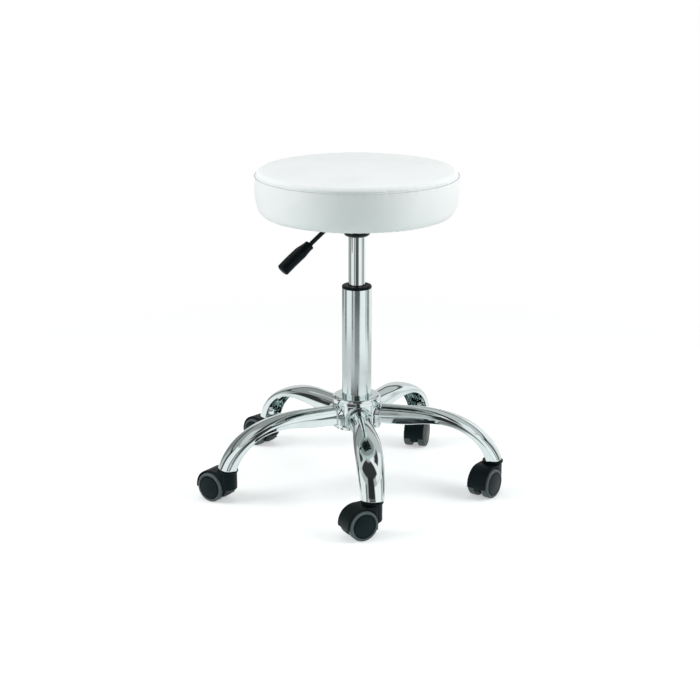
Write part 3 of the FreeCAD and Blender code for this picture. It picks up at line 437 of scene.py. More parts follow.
angle = np.arange(HUB_COUNT)[:, None] * 2 * np.pi / HUB_COUNT
height = np.concatenate([[HUB_FOOT, HUB_FOOT + 0.3], np.arange(HUB_FOOT + 0.8, HUB_TOP - 0.6, 0.45),
                         [HUB_TOP - HUB_EDGE, HUB_TOP]])
edge = np.minimum(1, np.minimum(height - HUB_FOOT, HUB_TOP - height) / HUB_EDGE)
outer, line = hub_radius(angle, height)
outer = outer - HUB_EDGE * (1 - np.sqrt(1 - (1 - edge) ** 2))
bore, bore_foot = np.full((HUB_COUNT, 1), HUB_BORE), np.full((HUB_COUNT, 1), HUB_BORE_FOOT)
radius = np.concatenate([bore, bore_foot, outer, bore], 1) * MM
level = np.concatenate([[HUB_TOP, HUB_FOOT], height, [HUB_TOP]]) * MM + 0 * angle
hub = np.stack([radius * np.cos(angle), radius * np.sin(angle), level], -1)
faces = quads(HUB_COUNT, len(height) + 3, True, True)
casting = add_piece("hub_casting", [(hub, faces)], "base", chrome, ["hub_body"])
# The black powder coat on the ring faces is painted shade for the gap inside each sunk sleeve end.
casting.data.materials.append(black_metal)
# The faces that close the bore merge away, so this mask is longer than the mesh and its black marks drift.
dark = np.pad(line > 0.5, ((0, 0), (2, 1)))
casting.data.polygons.foreach_set("material_index", dark.ravel()[faces].all(1).astype(np.int32))
print("hub radius from", round(float(outer.min()), 1), "to", round(float(outer.max()), 1), "mm")

# %% [markdown]
# ## Arms
# Each arm is a pressed channel: it leaves the hub level, widens and flattens, then bends down to the
# castor. A curve with a bevel object could give the bend, but not the changing section. So the surface is a
# function of the distance along the ridge and of the place round the section: straight sides, a half-
# ellipse crown, the same again inside, one wall away, and round lips between them. Each line along the arm
# stops where it meets the level of the castor, which cuts the foot square to the floor.

# %% The arm's section and its ridge
ARM_START, ARM_TOP, ARM_LEVEL, ARM_REACH = 29.5, 143.0, 100.0, 154.0
ARM_DROP, ARM_FOOT, ARM_WALL = 105.0, 59.5, 2.0
WAIST_TURN, SIDE_SHARE, FLAT_FROM, BEND_SCALE = math.radians(35), 0.38, 72.0, 150.0
END_TURN = math.acos(1 - (ARM_TOP - ARM_FOOT) / ARM_DROP) + math.radians(5)
WIDTHS, DEPTHS = (36.0, 46.0, 38.0), (29.0, 14.5, 24.0)


def arm_section():
    """Round the channel: crosswise share, crown share, side share, inset, and the lip's own round."""
    rise = np.linspace(0, 1, 7)
    sweep = np.linspace(np.pi, 0, 57)[1:-1]
    curl = np.linspace(0, np.pi / 2, 5)[1:]
    walls = []
    for inset, way in ((0, 1), (ARM_WALL, -1)):
        full, none = np.ones(len(curl)), np.zeros(len(curl))
        lip = np.array([-full, none, full, full * ARM_WALL / 2, -way * np.cos(curl), np.sin(curl)])
        full, none = np.ones(len(rise)), np.zeros(len(rise))
        left = np.array([-full, none, 1 - rise, full * inset, none, none])
        none = np.zeros(len(sweep))
        crown = np.array([np.cos(sweep), np.sin(sweep), none, none + inset, none, none])
        right = np.concatenate([left[:, ::-1], lip], 1)
        right[[0, 4]] *= -1
        walls.append(np.concatenate([lip[:, ::-1], left, crown, right], 1))
    return np.concatenate([walls[0], walls[1][:, ::-1]], 1)


SECTION = arm_section()


def arm_points(along):
    """Ridge point plus the section, for distances along the ridge: 0 is where the bend starts."""
    across, crown, side, inset, lip_out, lip_down = SECTION
    bend = np.clip(along, 0, None) / BEND_SCALE
    out = ARM_LEVEL + np.minimum(along, 0) + ARM_REACH * np.sin(bend)
    up = ARM_TOP - ARM_DROP * (1 - np.cos(bend))
    run = unit(np.stack([ARM_REACH * np.cos(bend), -ARM_DROP * np.sin(bend)], -1))
    waist_out = ARM_LEVEL + ARM_REACH * math.sin(WAIST_TURN)
    flatten = smooth((out - FLAT_FROM) / (waist_out - FLAT_FROM))
    swell = smooth((bend - WAIST_TURN) / (END_TURN - WAIST_TURN))
    width, depth = [hub + (waist - hub) * flatten + (end - waist) * swell
                    for hub, waist, end in (WIDTHS, DEPTHS)]
    wall = depth * SIDE_SHARE
    top = depth - wall
    below = top - crown * (top - inset) + side * (wall - ARM_WALL / 2) + lip_down * ARM_WALL / 2
    y = across * (width / 2 - inset) + np.where(lip_down > 0, np.sign(across) * -lip_out * ARM_WALL / 2, 0)
    return np.stack([out + run[..., 1] * below, y, up - run[..., 0] * below], -1)


print("arm section of", SECTION.shape[1], "points")

# %% The arm cut at its foot, and copied to five places
ARM_ROWS, OVERRUN, NUDGE = 150, 40.0, 0.1
loop = SECTION.shape[1]
trial = np.linspace(0, END_TURN * BEND_SCALE + OVERRUN, 600)[:, None] + np.zeros(loop)
low = arm_points(trial)[..., 2] < ARM_FOOT
stop = np.take_along_axis(trial, low.argmax(0)[None], 0)[0]
# Newton's steps bring the end of each line to the foot's level.
for _ in range(4):
    beyond = arm_points(stop[None])[0, :, 2] - ARM_FOOT
    slope = (arm_points(stop[None] + NUDGE)[0, :, 2] - ARM_FOOT - beyond) / NUDGE
    stop = stop - beyond / slope
begin = ARM_START - ARM_LEVEL
arm = arm_points(begin + (stop - begin) * np.linspace(0, 1, ARM_ROWS)[:, None]) * MM
faces = closed_band(ARM_ROWS, loop)
for number in range(1, ARM_COUNT + 1):
    placed = turned_about_z(arm, FIRST_ARM + 360 / ARM_COUNT * (number - 1))
    add_piece(f"arm_{number}_channel", [(placed, faces)], "base", pressed_chrome, [f"arm_{number}"])
print(ARM_COUNT, "arms, foot at", round(float(arm[-1, :, 2].max() / MM), 2), "mm")

# %% [markdown]
# ## Castors
# A furniture castor is a moulded hood with a web in its middle, a nose that takes the stem, and a wheel on
# each side with a snap-in cap. Each is worked out once about its stem, with its trail along +X, and then
# turned to where that castor points. The hood is a side outline carried across the width; its edges draw in
# by a small round at both sides, because a moulded edge is never sharp.

# %% Hood
TRAIL, AXLE, HOOD_OUT, HOOD_IN, HOOD_HALF = 25.0, 25.0, 29.0, 26.5, 17.25
EDGE_ROUND, FRONT_ROUND, HOOD_CORNER, HOOD_TOP = 0.8, 5.0, 8.0, 54.0
HOOD_REAR, HOOD_FRONT = -8, 205
hub_at = (TRAIL, AXLE)
front = TRAIL - HOOD_OUT
round_in, round_up = front + FRONT_ROUND, HOOD_TOP - FRONT_ROUND
outside = np.concatenate([
    arc_points(hub_at, HOOD_OUT, HOOD_REAR, 90, 48),
    np.linspace((TRAIL, HOOD_TOP), (round_in, HOOD_TOP), 8)[1:-1],
    arc_points((round_in, round_up), FRONT_ROUND, 90, 180, 12),
    np.linspace((front, round_up), (front, AXLE), 8)[1:-1],
    arc_points(hub_at, HOOD_OUT, 180, HOOD_FRONT, 12)])
inside = arc_points(hub_at, HOOD_IN, HOOD_REAR, HOOD_FRONT, len(outside))
band = np.concatenate([outside, inside[::-1]])
tangent = unit(np.roll(band, -1, 0) - np.roll(band, 1, 0))
outward = np.stack([tangent[:, 1], -tangent[:, 0]], -1)
curl = np.linspace(0, np.pi / 2, 5)
short, inward = EDGE_ROUND * (1 - np.sin(curl)), EDGE_ROUND * (1 - np.cos(curl))
flat = np.linspace(HOOD_HALF - 1.5, 1.5 - HOOD_HALF, 9)
across = np.concatenate([HOOD_HALF - short[::-1], flat, short - HOOD_HALF])
inset = np.concatenate([inward[::-1], 0 * flat, inward])
side = band[None] - outward[None] * inset[:, None, None]
corner = np.clip(front + HOOD_CORNER - side[..., 0], 0, HOOD_CORNER)
narrow = 1 - (HOOD_CORNER - np.sqrt(HOOD_CORNER ** 2 - corner ** 2)) / HOOD_HALF
hood = np.stack([side[..., 0], across[:, None] * narrow, side[..., 1]], -1) * MM
hood_part = (hood, closed_band(*hood.shape[:2]))
print("hood outline of", len(band), "points")

# %% Web and nose
WEB_HALF, WEB_FOOT, WEB_COUNT, WEB_LAP = 5.5, 12.7, 96, 0.4
NOSE_FOOT, NOSE_RADIUS, NOSE_RIM, NOSE_TOP, STEM_HOLE, STEM_FLOOR = 18.0, 15.6, 17.4, 58.0, 5.4, 44.0
round_axle = np.arange(WEB_COUNT)[:, None] * 2 * np.pi / WEB_COUNT
reach = np.minimum(HOOD_IN + WEB_LAP, (AXLE - WEB_FOOT) / np.maximum(-np.sin(round_axle), 1e-6))
plate = rounded([(0, -WEB_HALF, 0), (1, -WEB_HALF, 0.03), (1, WEB_HALF, 0.03), (0, WEB_HALF, 0)])
web = np.stack([TRAIL + plate[:, 0] * reach * np.cos(round_axle), plate[:, 1] + 0 * round_axle,
                AXLE + plate[:, 0] * reach * np.sin(round_axle)], -1) * MM
web_part = (web, quads(WEB_COUNT, len(plate), True, False))
nose = rounded([(0, NOSE_FOOT, 0), (8.6, NOSE_FOOT, 1), (NOSE_RADIUS, 25, 2), (NOSE_RADIUS, 53.2, 0.8),
                (NOSE_RIM, 54.4, 0.6), (NOSE_RIM, NOSE_TOP, 1.2), (STEM_HOLE, NOSE_TOP, 0.6),
                (STEM_HOLE, STEM_FLOOR, 0), (0, STEM_FLOOR, 0)])
nose_part = lathe(nose, 72, False)
print("web and nose ready, nose top at", NOSE_TOP, "mm")

# %% [markdown]
# ### Wheels and caps
# Each wheel is a moulded tyre with a deep groove inside, and its cap is a shallow dome in a ring. Both
# could be cylinders with bevels, but the groove and the dome need an outline, and a lathe gives it in one
# step. They are turned about Z and then laid on the axle, left and right.

# %% Wheels and caps
WHEEL, WHEEL_IN, WHEEL_OUT, CAP_SEAT, WHEEL_COUNT = 25.0, 5.8, 19.6, 17.1, 96
CAP_BACK, CAP_RADIUS, DOME_RADIUS, DOME_EDGE, DOME_RISE = 17.12, 20.25, 18.6, 19.5, 1.4
wheel = rounded([(3.1, WHEEL_IN, 0.3), (8, WHEEL_IN, 0.5), (8, 14.1, 0.8), (19.5, 14.1, 0.8),
                 (19.5, WHEEL_IN, 0.5), (WHEEL, WHEEL_IN, 2.4), (WHEEL, WHEEL_OUT, 2.6),
                 (20.45, WHEEL_OUT, 0.5), (20.45, CAP_SEAT, 0.2), (3.1, CAP_SEAT, 0.2)])
rim = rounded([(0, CAP_BACK, 0), (CAP_RADIUS, CAP_BACK, 0.2), (CAP_RADIUS, 19.7, 0.7), (18.9, 19.75, 0.25),
               (DOME_RADIUS, DOME_EDGE, 0.2)])
dome = np.linspace(DOME_RADIUS, 0, 16)
# The first corner lies on the axis and has nine equal points, of which one is kept.
dome_height = DOME_EDGE + DOME_RISE * (1 - (dome / DOME_RADIUS) ** 2)
cap = np.concatenate([rim[8:-1], np.stack([dome, dome_height], -1)])
wheel_grid, wheel_faces = lathe(wheel, WHEEL_COUNT)
cap_grid, cap_faces = lathe(cap, WHEEL_COUNT, False)


def on_axle(grid, side):
    """A piece turned about Z laid on the axle: its height runs across the castor, outwards on that side."""
    laid = np.stack([grid[..., 0], side * grid[..., 2], grid[..., 1]], -1)
    return laid + np.array([TRAIL, 0, AXLE]) * MM


STEM_CIRCLE = 235.5 * MM
CASTOR_TURNS = (-157.0, -131.8, -111.2, 130.8, 138.8)
for number, turn in enumerate(CASTOR_TURNS, 1):
    aim = math.radians(FIRST_ARM + 360 / ARM_COUNT * (number - 1))
    stem = (STEM_CIRCLE * math.cos(aim), STEM_CIRCLE * math.sin(aim), 0)
    parts = [(turned_about_z(grid, turn, stem), faces) for grid, faces in (hood_part, web_part, nose_part)]
    add_piece(f"castor_{number}_moulding", parts, f"castor_{number}", black_plastic,
              [f"castor_{number}_hood"])
    for word, side in (("left", 1), ("right", -1)):
        body = f"castor_{number}_{word}"
        tyre = turned_about_z(on_axle(wheel_grid, side), turn, stem)
        disc = turned_about_z(on_axle(cap_grid, side), turn, stem)
        add_piece(f"{body}_tyre", [(tyre, wheel_faces)], body, tread_plastic,
                  [f"castor_{number}_wheel_{word}"])
        add_piece(f"{body}_disc", [(disc, cap_faces)], body, cap_plastic,
                  [f"castor_{number}_cap_{word}"])
print("castors turned to", CASTOR_TURNS)

# %% [markdown]
# ## Seat socket
# Under the seat a cast socket sits on the gas spring's taper, and a slot between two ears holds the lever.
# It could be joined from solids, but it is a height field like the hub, so the ears run into the drum with
# soft corners.

# %% Socket with ears and slot
LEVER_TURN, LEVER_HEIGHT = 200.0, 464.6
EAR_FOOT, EAR_REACH, EAR_HALF, SLOT_HALF, SLOT_FLOOR = 457.5, 31.0, 8.05, 4.05, 15.2
CUP_RADIUS, CUP_ROUND, CUP_TOP, CUP_BORE, CUP_COUNT = 22.5, 7.0, 470.4, 14.03, 288
FLANGE, FLANGE_FROM, BORE_TOP = 4.5, 465.7, 454.0
angle = np.arange(CUP_COUNT)[:, None] * 2 * np.pi / CUP_COUNT
low_round = np.linspace(0, np.pi / 2, 10)
height = np.concatenate([
    CUP_FOOT + CUP_ROUND * (1 - np.cos(low_round)), np.linspace(442, 456.8, 12), [457.3, 457.7, 458.2],
    np.linspace(459, 465.4, 10), [465.8, 466.2, 466.6], np.linspace(467.4, 469.9, 5), [CUP_TOP]])
below = np.clip((CUP_FOOT + CUP_ROUND - height) / CUP_ROUND, 0, 1)
drum = CUP_RADIUS - CUP_ROUND * (1 - np.sqrt(1 - below ** 2)) + FLANGE * smooth((height - FLANGE_FROM) / 0.6)
off = (angle - math.radians(LEVER_TURN) + np.pi) % (2 * np.pi) - np.pi
forward = np.maximum(np.cos(off), 1e-6)
ear = -soft_max(-EAR_REACH / forward, -EAR_HALF / np.maximum(np.abs(np.sin(off)), 1e-6), 0.8)
cup = soft_max(drum + 0 * angle, ear * smooth((height - EAR_FOOT + 0.3) / 0.6) * (np.cos(off) > 0), 1.2)
slot = smooth((SLOT_HALF + 0.3 - np.abs(cup * np.sin(off))) / 0.5) * (np.cos(off) > 0)
cup = cup + (SLOT_FLOOR - cup) * slot * smooth((height - EAR_FOOT - 0.2) / 0.6)
bore = np.full((CUP_COUNT, 1), CUP_BORE)
radius = np.concatenate([bore, bore, cup, bore], 1) * MM
level = np.concatenate([[BORE_TOP, CUP_FOOT], height, [CUP_TOP]]) * MM + 0 * angle
socket = np.stack([radius * np.cos(angle), radius * np.sin(angle), level], -1)
add_piece("socket_casting", [(socket, quads(CUP_COUNT, len(height) + 3, True, True))], "seat",
          black_metal, ["seat_socket"])
print("socket from", CUP_FOOT, "to", CUP_TOP, "mm")

# %% [markdown]
# ## Lever and grip
# The lever is a bent rod with a moulded paddle on its end. A bevelled curve would give the rod too. Here a
# circle is carried along a line, an arc and a line, and closes to a point at both ends. The paddle's
# section is a bevelled rectangle: the distance to its edge in a direction is the soft minimum of the
# distances to its faces and bevels, which rounds every edge a little.

# %% Lever rod
ROD, ROD_IN, ROD_OUT, ROD_COUNT = 3.75, -4.0, 94.0, 32
BEND_AT, BEND_ROUND, DROOP = 38.0, 14.0, math.radians(38.5)
CHAMFER, CHAMFER_SHARE = 0.6, 0.85
back = BEND_ROUND * math.tan(DROOP / 2)
swing = np.linspace(0, DROOP, 16)
first = np.linspace(ROD_IN, BEND_AT - back, 12)[:-1]
rest = np.linspace(back, ROD_OUT, 18)[1:]
x = np.concatenate([[ROD_IN, ROD_IN], first, BEND_AT - back + BEND_ROUND * np.sin(swing),
                    BEND_AT + rest * math.cos(DROOP)])
z = np.concatenate([[0, 0], 0 * first, -BEND_ROUND * (1 - np.cos(swing)), -rest * math.sin(DROOP)])
tilt = np.concatenate([np.zeros(len(first) + 2), swing, np.full(len(rest), DROOP)])
thick = np.ones(len(x))
thick[[0, -1]] = 0
thick[1] = CHAMFER_SHARE
x[2] += CHAMFER
ring = np.linspace(0, 2 * np.pi, ROD_COUNT + 1)[:-1]
lift = ROD * thick[:, None] * np.cos(ring)
rod = np.stack([x[:, None] + lift * np.sin(tilt)[:, None], ROD * thick[:, None] * np.sin(ring),
                LEVER_HEIGHT + z[:, None] + lift * np.cos(tilt)[:, None]], -1) * MM
add_piece("lever_bar", [(turned_about_z(rod, LEVER_TURN), quads(len(x), ROD_COUNT, False, True))], "lever",
          black_metal, ["lever_rod"])
print("lever droops", round(math.degrees(DROOP), 1), "degrees")

# %% Paddle grip
GRIP_START, GRIP_LENGTH, GRIP_RISE, GRIP_BOW, GRIP_COUNT = 59.0, 65.0, 5.5, 4.6, 96
NECK_WIDE, NECK_THICK, MORE_WIDE, MORE_THICK = 8.6, 7.9, 3.4, 1.0
FRONT_END, REAR_END, REAR_FROM = 2.4, 4.4, 62.2
BEVEL, SHARPNESS = 5.0, 20
along = np.concatenate([[0, 0, 0.4, 1.2, 2.4], np.linspace(4, 59, 34), [61, 62.6, 63.8, 64.6, 65, 65]])
swell = smooth((along - 5) / 20)
half_wide = NECK_WIDE + MORE_WIDE * swell
half_thick = NECK_THICK + MORE_THICK * swell
ends = np.sqrt(np.clip(1 - np.clip((FRONT_END - along) / FRONT_END, 0, 1) ** 2, 0.15, 1))
ends = ends * np.sqrt(np.clip(1 - np.clip((along - REAR_FROM) / REAR_END, 0, 1) ** 2, 0.05, 1))
ends[[0, -1]] = 0
round_grip = np.linspace(0, 2 * np.pi, GRIP_COUNT + 1)[:-1]
cos, sin = np.abs(np.cos(round_grip)), np.abs(np.sin(round_grip))
reach = [sin / half_wide[:, None], cos / half_thick[:, None],
         (cos + sin) / (half_wide + half_thick - BEVEL)[:, None]]
reach = sum(entry ** SHARPNESS for entry in reach) ** (-1 / SHARPNESS) * ends[:, None]
bow = GRIP_BOW * (along / GRIP_LENGTH) ** 2 - GRIP_RISE * along / GRIP_LENGTH
out = GRIP_START + along
under = bow[:, None] + reach * np.cos(round_grip)
grip = np.stack([BEND_AT + out[:, None] * math.cos(DROOP) - under * math.sin(DROOP),
                 reach * np.sin(round_grip),
                 LEVER_HEIGHT - out[:, None] * math.sin(DROOP) - under * math.cos(DROOP)], -1) * MM
add_piece("grip_paddle", [(turned_about_z(grip, LEVER_TURN), quads(len(along), GRIP_COUNT, False, True))],
          "lever", black_plastic, ["lever_grip"])
print("grip", GRIP_LENGTH, "mm long")

# %% [markdown]
# ## Cushion
# The seat is a foam pad under a vinyl cover: a round top panel sewn to a side band, pulled tight and
# stapled under the board. A plain turned shape looks hard, so a copy is inflated as cloth, held at the hem
# and along the seam, and how far each place swells is read back on to a finer grid. The fine grid then gets
# what a simulation is too coarse for: the drawn-in seam, the puckers beside it and the pleats of the hem.

# %% The cover's outline
FOOT, CORNER, SIDE, WIDEST, SEAT_RADIUS = 472.3, 20.0, 120.0, 515.0, 170.0
SEAM_HEIGHT, SEAT_TOP, CROWN, SHOULDER, HEM, HIDDEN = 537.5, 552.0, 2800.0, 12.0, 18.0, 474.2
side_at = np.array([SEAT_RADIUS - SIDE, WIDEST])
low_turn = -math.asin((WIDEST - FOOT - CORNER) / (SIDE - CORNER))
high_turn = math.asin((SEAM_HEIGHT - WIDEST) / SIDE)
corner_at = side_at + (SIDE - CORNER) * np.array([math.cos(low_turn), math.sin(low_turn)])
seam_at = side_at + SIDE * np.array([math.cos(high_turn), math.sin(high_turn)])
crown_at = np.array([0, SEAT_TOP - CROWN])
apart = seam_at - crown_at
length = math.hypot(*apart)
toward = (length ** 2 + (CROWN - SHOULDER) ** 2 - SHOULDER ** 2) / (2 * length)
aside = math.sqrt((CROWN - SHOULDER) ** 2 - toward ** 2)
shoulder_at = crown_at + (apart * toward + np.array([-apart[1], apart[0]]) * aside) / length
joint_turn = math.degrees(math.atan2(*(shoulder_at - crown_at)[::-1]))
seam_turn = math.degrees(math.atan2(*(seam_at - shoulder_at)[::-1]))
hem_in = corner_at[0] - HEM
fine = np.concatenate([
    np.linspace((0, HIDDEN), (hem_in, HIDDEN), 60), np.linspace((hem_in, HIDDEN), (hem_in, FOOT), 12)[1:],
    np.linspace((hem_in, FOOT), (corner_at[0], FOOT), 60)[1:],
    arc_points(corner_at, CORNER, -90, math.degrees(low_turn), 120)[1:],
    arc_points(side_at, SIDE, math.degrees(low_turn), math.degrees(high_turn), 160)[1:],
    arc_points(shoulder_at, SHOULDER, seam_turn, joint_turn, 90)[1:],
    arc_points(crown_at, CROWN, joint_turn, 90, 300)[1:]])
travel = np.concatenate([[0], np.cumsum(np.linalg.norm(np.diff(fine, axis=0), axis=1))])
seam_travel = travel[np.linalg.norm(fine - seam_at, axis=1).argmin()]
hem_travel = travel[np.linalg.norm(fine - np.array([hem_in, FOOT]), axis=1).argmin()]
corner_travel = hem_travel + HEM
slope = unit(np.gradient(fine, travel, axis=0))
facing = np.stack([slope[:, 1], -slope[:, 0]], -1)


def on_outline(values, where):
    """Outline values at distances along it."""
    return np.stack([np.interp(where, travel, values[:, 0]), np.interp(where, travel, values[:, 1])], -1)


print("outline", round(float(travel[-1]), 1), "mm long, seam at", round(float(seam_travel), 1), "mm")

# %% [markdown]
# ### The cover's swelling
# A cover bulges most where it is furthest from its seams. The bulge could be drawn as a formula, but a
# short cloth simulation with pressure inside finds it, small unevenness and all. The result is kept as an
# array.

# %% Inflate a copy as cloth
START_INSET, SWELL_CAP, VOXEL, FRAMES = 1.7, 2.0, 0.005, 20
TURNS, STEPS = 96, 72


def swelling():
    """How far the inflated cover moves outwards, as an array over angle and distance along the outline.

    The copy is turned from the outline, inset a little, remeshed in voxels and inflated for some frames with
    its hem and seam held. Each point's movement along the outline's normal is added to its bin, and the bins
    are blurred with weights 1 2 1 both ways and divided by their blurred counts.
    """
    where = np.linspace(0, travel[-1], 150)
    inset = START_INSET * smooth((where - hem_travel) / HEM)[:, None]
    grid, faces = lathe(on_outline(fine, where) - on_outline(facing, where) * inset, 144, False)
    pad = bpy.data.objects.new("cover_start", merged_mesh("cover_start", grid.reshape(-1, 3), faces))
    scene.collection.objects.link(pad)
    remesh = pad.modifiers.new("voxels", "REMESH")
    remesh.mode, remesh.voxel_size = "VOXEL", VOXEL
    bpy.context.view_layer.update()
    pad.data = bpy.data.meshes.new_from_object(pad.evaluated_get(bpy.context.evaluated_depsgraph_get()))
    pad.modifiers.clear()
    count = len(pad.data.vertices)
    before = np.empty(count * 3)
    pad.data.vertices.foreach_get("co", before)
    before = before.reshape(-1, 3) / MM
    flat = np.stack([np.hypot(before[:, 0], before[:, 1]), before[:, 2]], -1)
    sample = np.linspace(0, travel[-1], 400)
    nearest = np.linalg.norm(flat[:, None] - on_outline(fine, sample)[None], axis=2).argmin(1)
    place = sample[nearest]
    held = pad.vertex_groups.new(name="held")
    fixed = (place < corner_travel - 2) | (np.abs(place - seam_travel) < 4)
    held.add(np.nonzero(fixed)[0].tolist(), 1.0, "REPLACE")
    cloth = pad.modifiers.new("cloth", "CLOTH")
    cloth.settings.quality = 6
    cloth.settings.mass = 0.25
    cloth.settings.use_pressure = True
    cloth.settings.uniform_pressure_force = 4.0
    cloth.settings.effector_weights.gravity = 0.0
    cloth.settings.vertex_group_mass = "held"
    cloth.point_cache.frame_end = FRAMES
    for number in range(1, FRAMES + 1):
        scene.frame_set(number)
    after = np.empty(count * 3)
    pad.evaluated_get(bpy.context.evaluated_depsgraph_get()).data.vertices.foreach_get("co", after)
    scene.frame_set(1)
    bpy.data.objects.remove(pad)
    direction = on_outline(facing, place)
    spin = np.arctan2(before[:, 1], before[:, 0])
    normal = np.stack([direction[:, 0] * np.cos(spin), direction[:, 0] * np.sin(spin), direction[:, 1]], -1)
    moved = np.clip(((after.reshape(-1, 3) / MM - before) * normal).sum(1), -1.0, SWELL_CAP)
    turn = ((spin / (2 * np.pi) % 1) * TURNS).astype(int) % TURNS
    bins = turn, (place / travel[-1] * (STEPS - 1)).astype(int)
    total, weight = np.zeros((TURNS, STEPS)), np.zeros((TURNS, STEPS))
    np.add.at(total, bins, moved)
    np.add.at(weight, bins, 1.0)
    for _ in range(3):
        total, weight = [(np.roll(t, 1, 0) + 2 * t + np.roll(t, -1, 0)) / 4 for t in (total, weight)]
        wide = [np.pad(t, ((0, 0), (1, 1)), mode="edge") for t in (total, weight)]
        total, weight = [(t[:, :-2] + 2 * t[:, 1:-1] + t[:, 2:]) / 4 for t in wide]
    return total / np.maximum(weight, 1e-6)


field = swelling()
print("cover swells by", round(float(field.min()), 2), "to", round(float(field.max()), 2), "mm")

# %% [markdown]
# ### The sewn cover
# Up close, a sewn cover shows where it was worked: the thread draws the seam in, the vinyl beside it
# puckers, and the hem folds into pleats under the board. Sculpting these by hand would never repeat evenly.
# Here each is a small push along the outline's normal, a product of waves round the seat and a fade away
# from its line.

# %% The fine cushion
SEAM_DEPTH, SEAM_WIDTH, PUCKER, PLEAT, ROLL = 0.5, 1.3, 0.3, 0.9, 3.2
COLUMNS = 480
where = np.concatenate([
    np.linspace(0, hem_travel - 2, 6), np.linspace(hem_travel - 1.8, hem_travel + 1, 8),
    np.arange(hem_travel + 2.5, seam_travel - 6, 2.5), np.arange(seam_travel - 5.6, seam_travel + 5.6, 0.45),
    np.arange(seam_travel + 6.5, seam_travel + 30, 2.2), np.linspace(seam_travel + 32, travel[-1], 46)])
angle = np.arange(COLUMNS)[:, None] * 2 * np.pi / COLUMNS
from_seam = where - seam_travel
turn_at, step_at = angle / (2 * np.pi) * TURNS, where / travel[-1] * (STEPS - 1)
turn_low = np.floor(turn_at).astype(int)
step_low = np.minimum(np.floor(step_at).astype(int), STEPS - 2)
turn_part, step_part = turn_at - turn_low, step_at - step_low
rows = [field[(turn_low + add) % TURNS, step_low] * (1 - step_part)
        + field[(turn_low + add) % TURNS, step_low + 1] * step_part for add in (0, 1)]
swell = rows[0] * (1 - turn_part) + rows[1] * turn_part
covered = smooth((where - hem_travel) / HEM)
ripple = np.sin(47 * angle + 0.7) + 0.8 * np.sin(71 * angle + 2.1) + 0.5 * np.sin(103 * angle + 4.0)
pucker = PUCKER * ripple * np.exp(-np.abs(from_seam) / 5) * smooth(np.abs(from_seam) / 1.5)
groove = -SEAM_DEPTH * np.exp(-(from_seam / SEAM_WIDTH) ** 2)
fold = np.abs(np.sin(37 * angle + 0.6 * np.sin(5 * angle) + 0.4)) ** 2.5
under = smooth((where - hem_travel + 0.5) / 2) * smooth((corner_travel + 14 - where) / 20)
pleat = PLEAT * (1 + 0.4 * np.sin(9 * angle)) * fold * under
roll = ROLL * smooth((where - hem_travel - 3) / 14) * smooth((corner_travel + 26 - where) / 24)
push = (swell - START_INSET) * covered + pucker + groove + pleat + roll
line, normal = on_outline(fine, where), on_outline(facing, where)
radius = (line[:, 0] + normal[:, 0] * push) * MM
radius[:, [0, -1]] = 0
level = (line[:, 1] + normal[:, 1] * push) * MM
cushion_grid = np.stack([radius * np.cos(angle), radius * np.sin(angle), level], -1)
cushion = add_piece("seat_cushion", [(cushion_grid, quads(COLUMNS, len(where), True, False))], "seat",
                    vinyl, ["cover_top", "cover_band", "seat_foam"])
print("cushion of", len(cushion.data.polygons), "faces, top at", round(float(level.max() / MM), 1), "mm")

# %% [markdown]
# ## Stitches and staples
# A row of lock stitches runs just under the seam, and staples hold the hem under the board. An array
# modifier on a curve could space them. Both are tiny and many, so each is a capsule of a few dozen faces,
# in one array.

# %% Stitches along the seam, staples under the hem


def capsules(start, end, bulge, thick, along=7, around=6):
    """Capsules between points: start + (end - start) s + 4 bulge s (1 - s), shrinking at both ends."""
    share = np.linspace(0, 1, along)[None, :, None, None]
    sweep = np.arange(around)[None, None, :, None] * 2 * np.pi / around
    start, end, bulge = [entry[:, None, None, :] for entry in (start, end, bulge)]
    run = unit(end - start)
    up = unit(bulge)
    across = np.cross(run, up)
    size = thick * np.sqrt(np.clip(1 - (2 * share - 1) ** 6, 0, 1))
    grid = start + (end - start) * share + bulge * (4 * share * (1 - share))
    grid = grid + size * (np.cos(sweep) * up + np.sin(sweep) * across)
    faces = quads(along, around, False, True)
    shifts = np.arange(len(grid))[:, None, None] * along * around
    return grid, (faces[None] + shifts).reshape(-1, 4)


STITCHES, STITCH_SHARE, STITCH_DROP, STITCH_SUNK = 212, 0.6, 1.7, 0.8
STITCH_BULGE, STITCH_THICK = 0.5, 0.55
spot = on_outline(fine, np.array([seam_travel - STITCH_DROP]))[0]
aim = on_outline(facing, np.array([seam_travel - STITCH_DROP]))[0]
turns = np.arange(STITCHES) * 2 * np.pi / STITCHES


def round_seat(radius, height, turns):
    """Points at a radius and height for an array of angles."""
    return np.stack([radius * np.cos(turns), radius * np.sin(turns), height + 0 * turns], -1)


half = STITCH_SHARE * np.pi / STITCHES
ends = [round_seat(spot[0] - STITCH_SUNK, spot[1], turns + way * half) * MM for way in (-1, 1)]
lift = round_seat(aim[0], aim[1], turns) * STITCH_BULGE * MM
# The stitches use the grey thread finish, which is painted shade along the seam.
add_piece("seam_stitches", [capsules(*ends, lift, STITCH_THICK * MM)], "seat", thread)

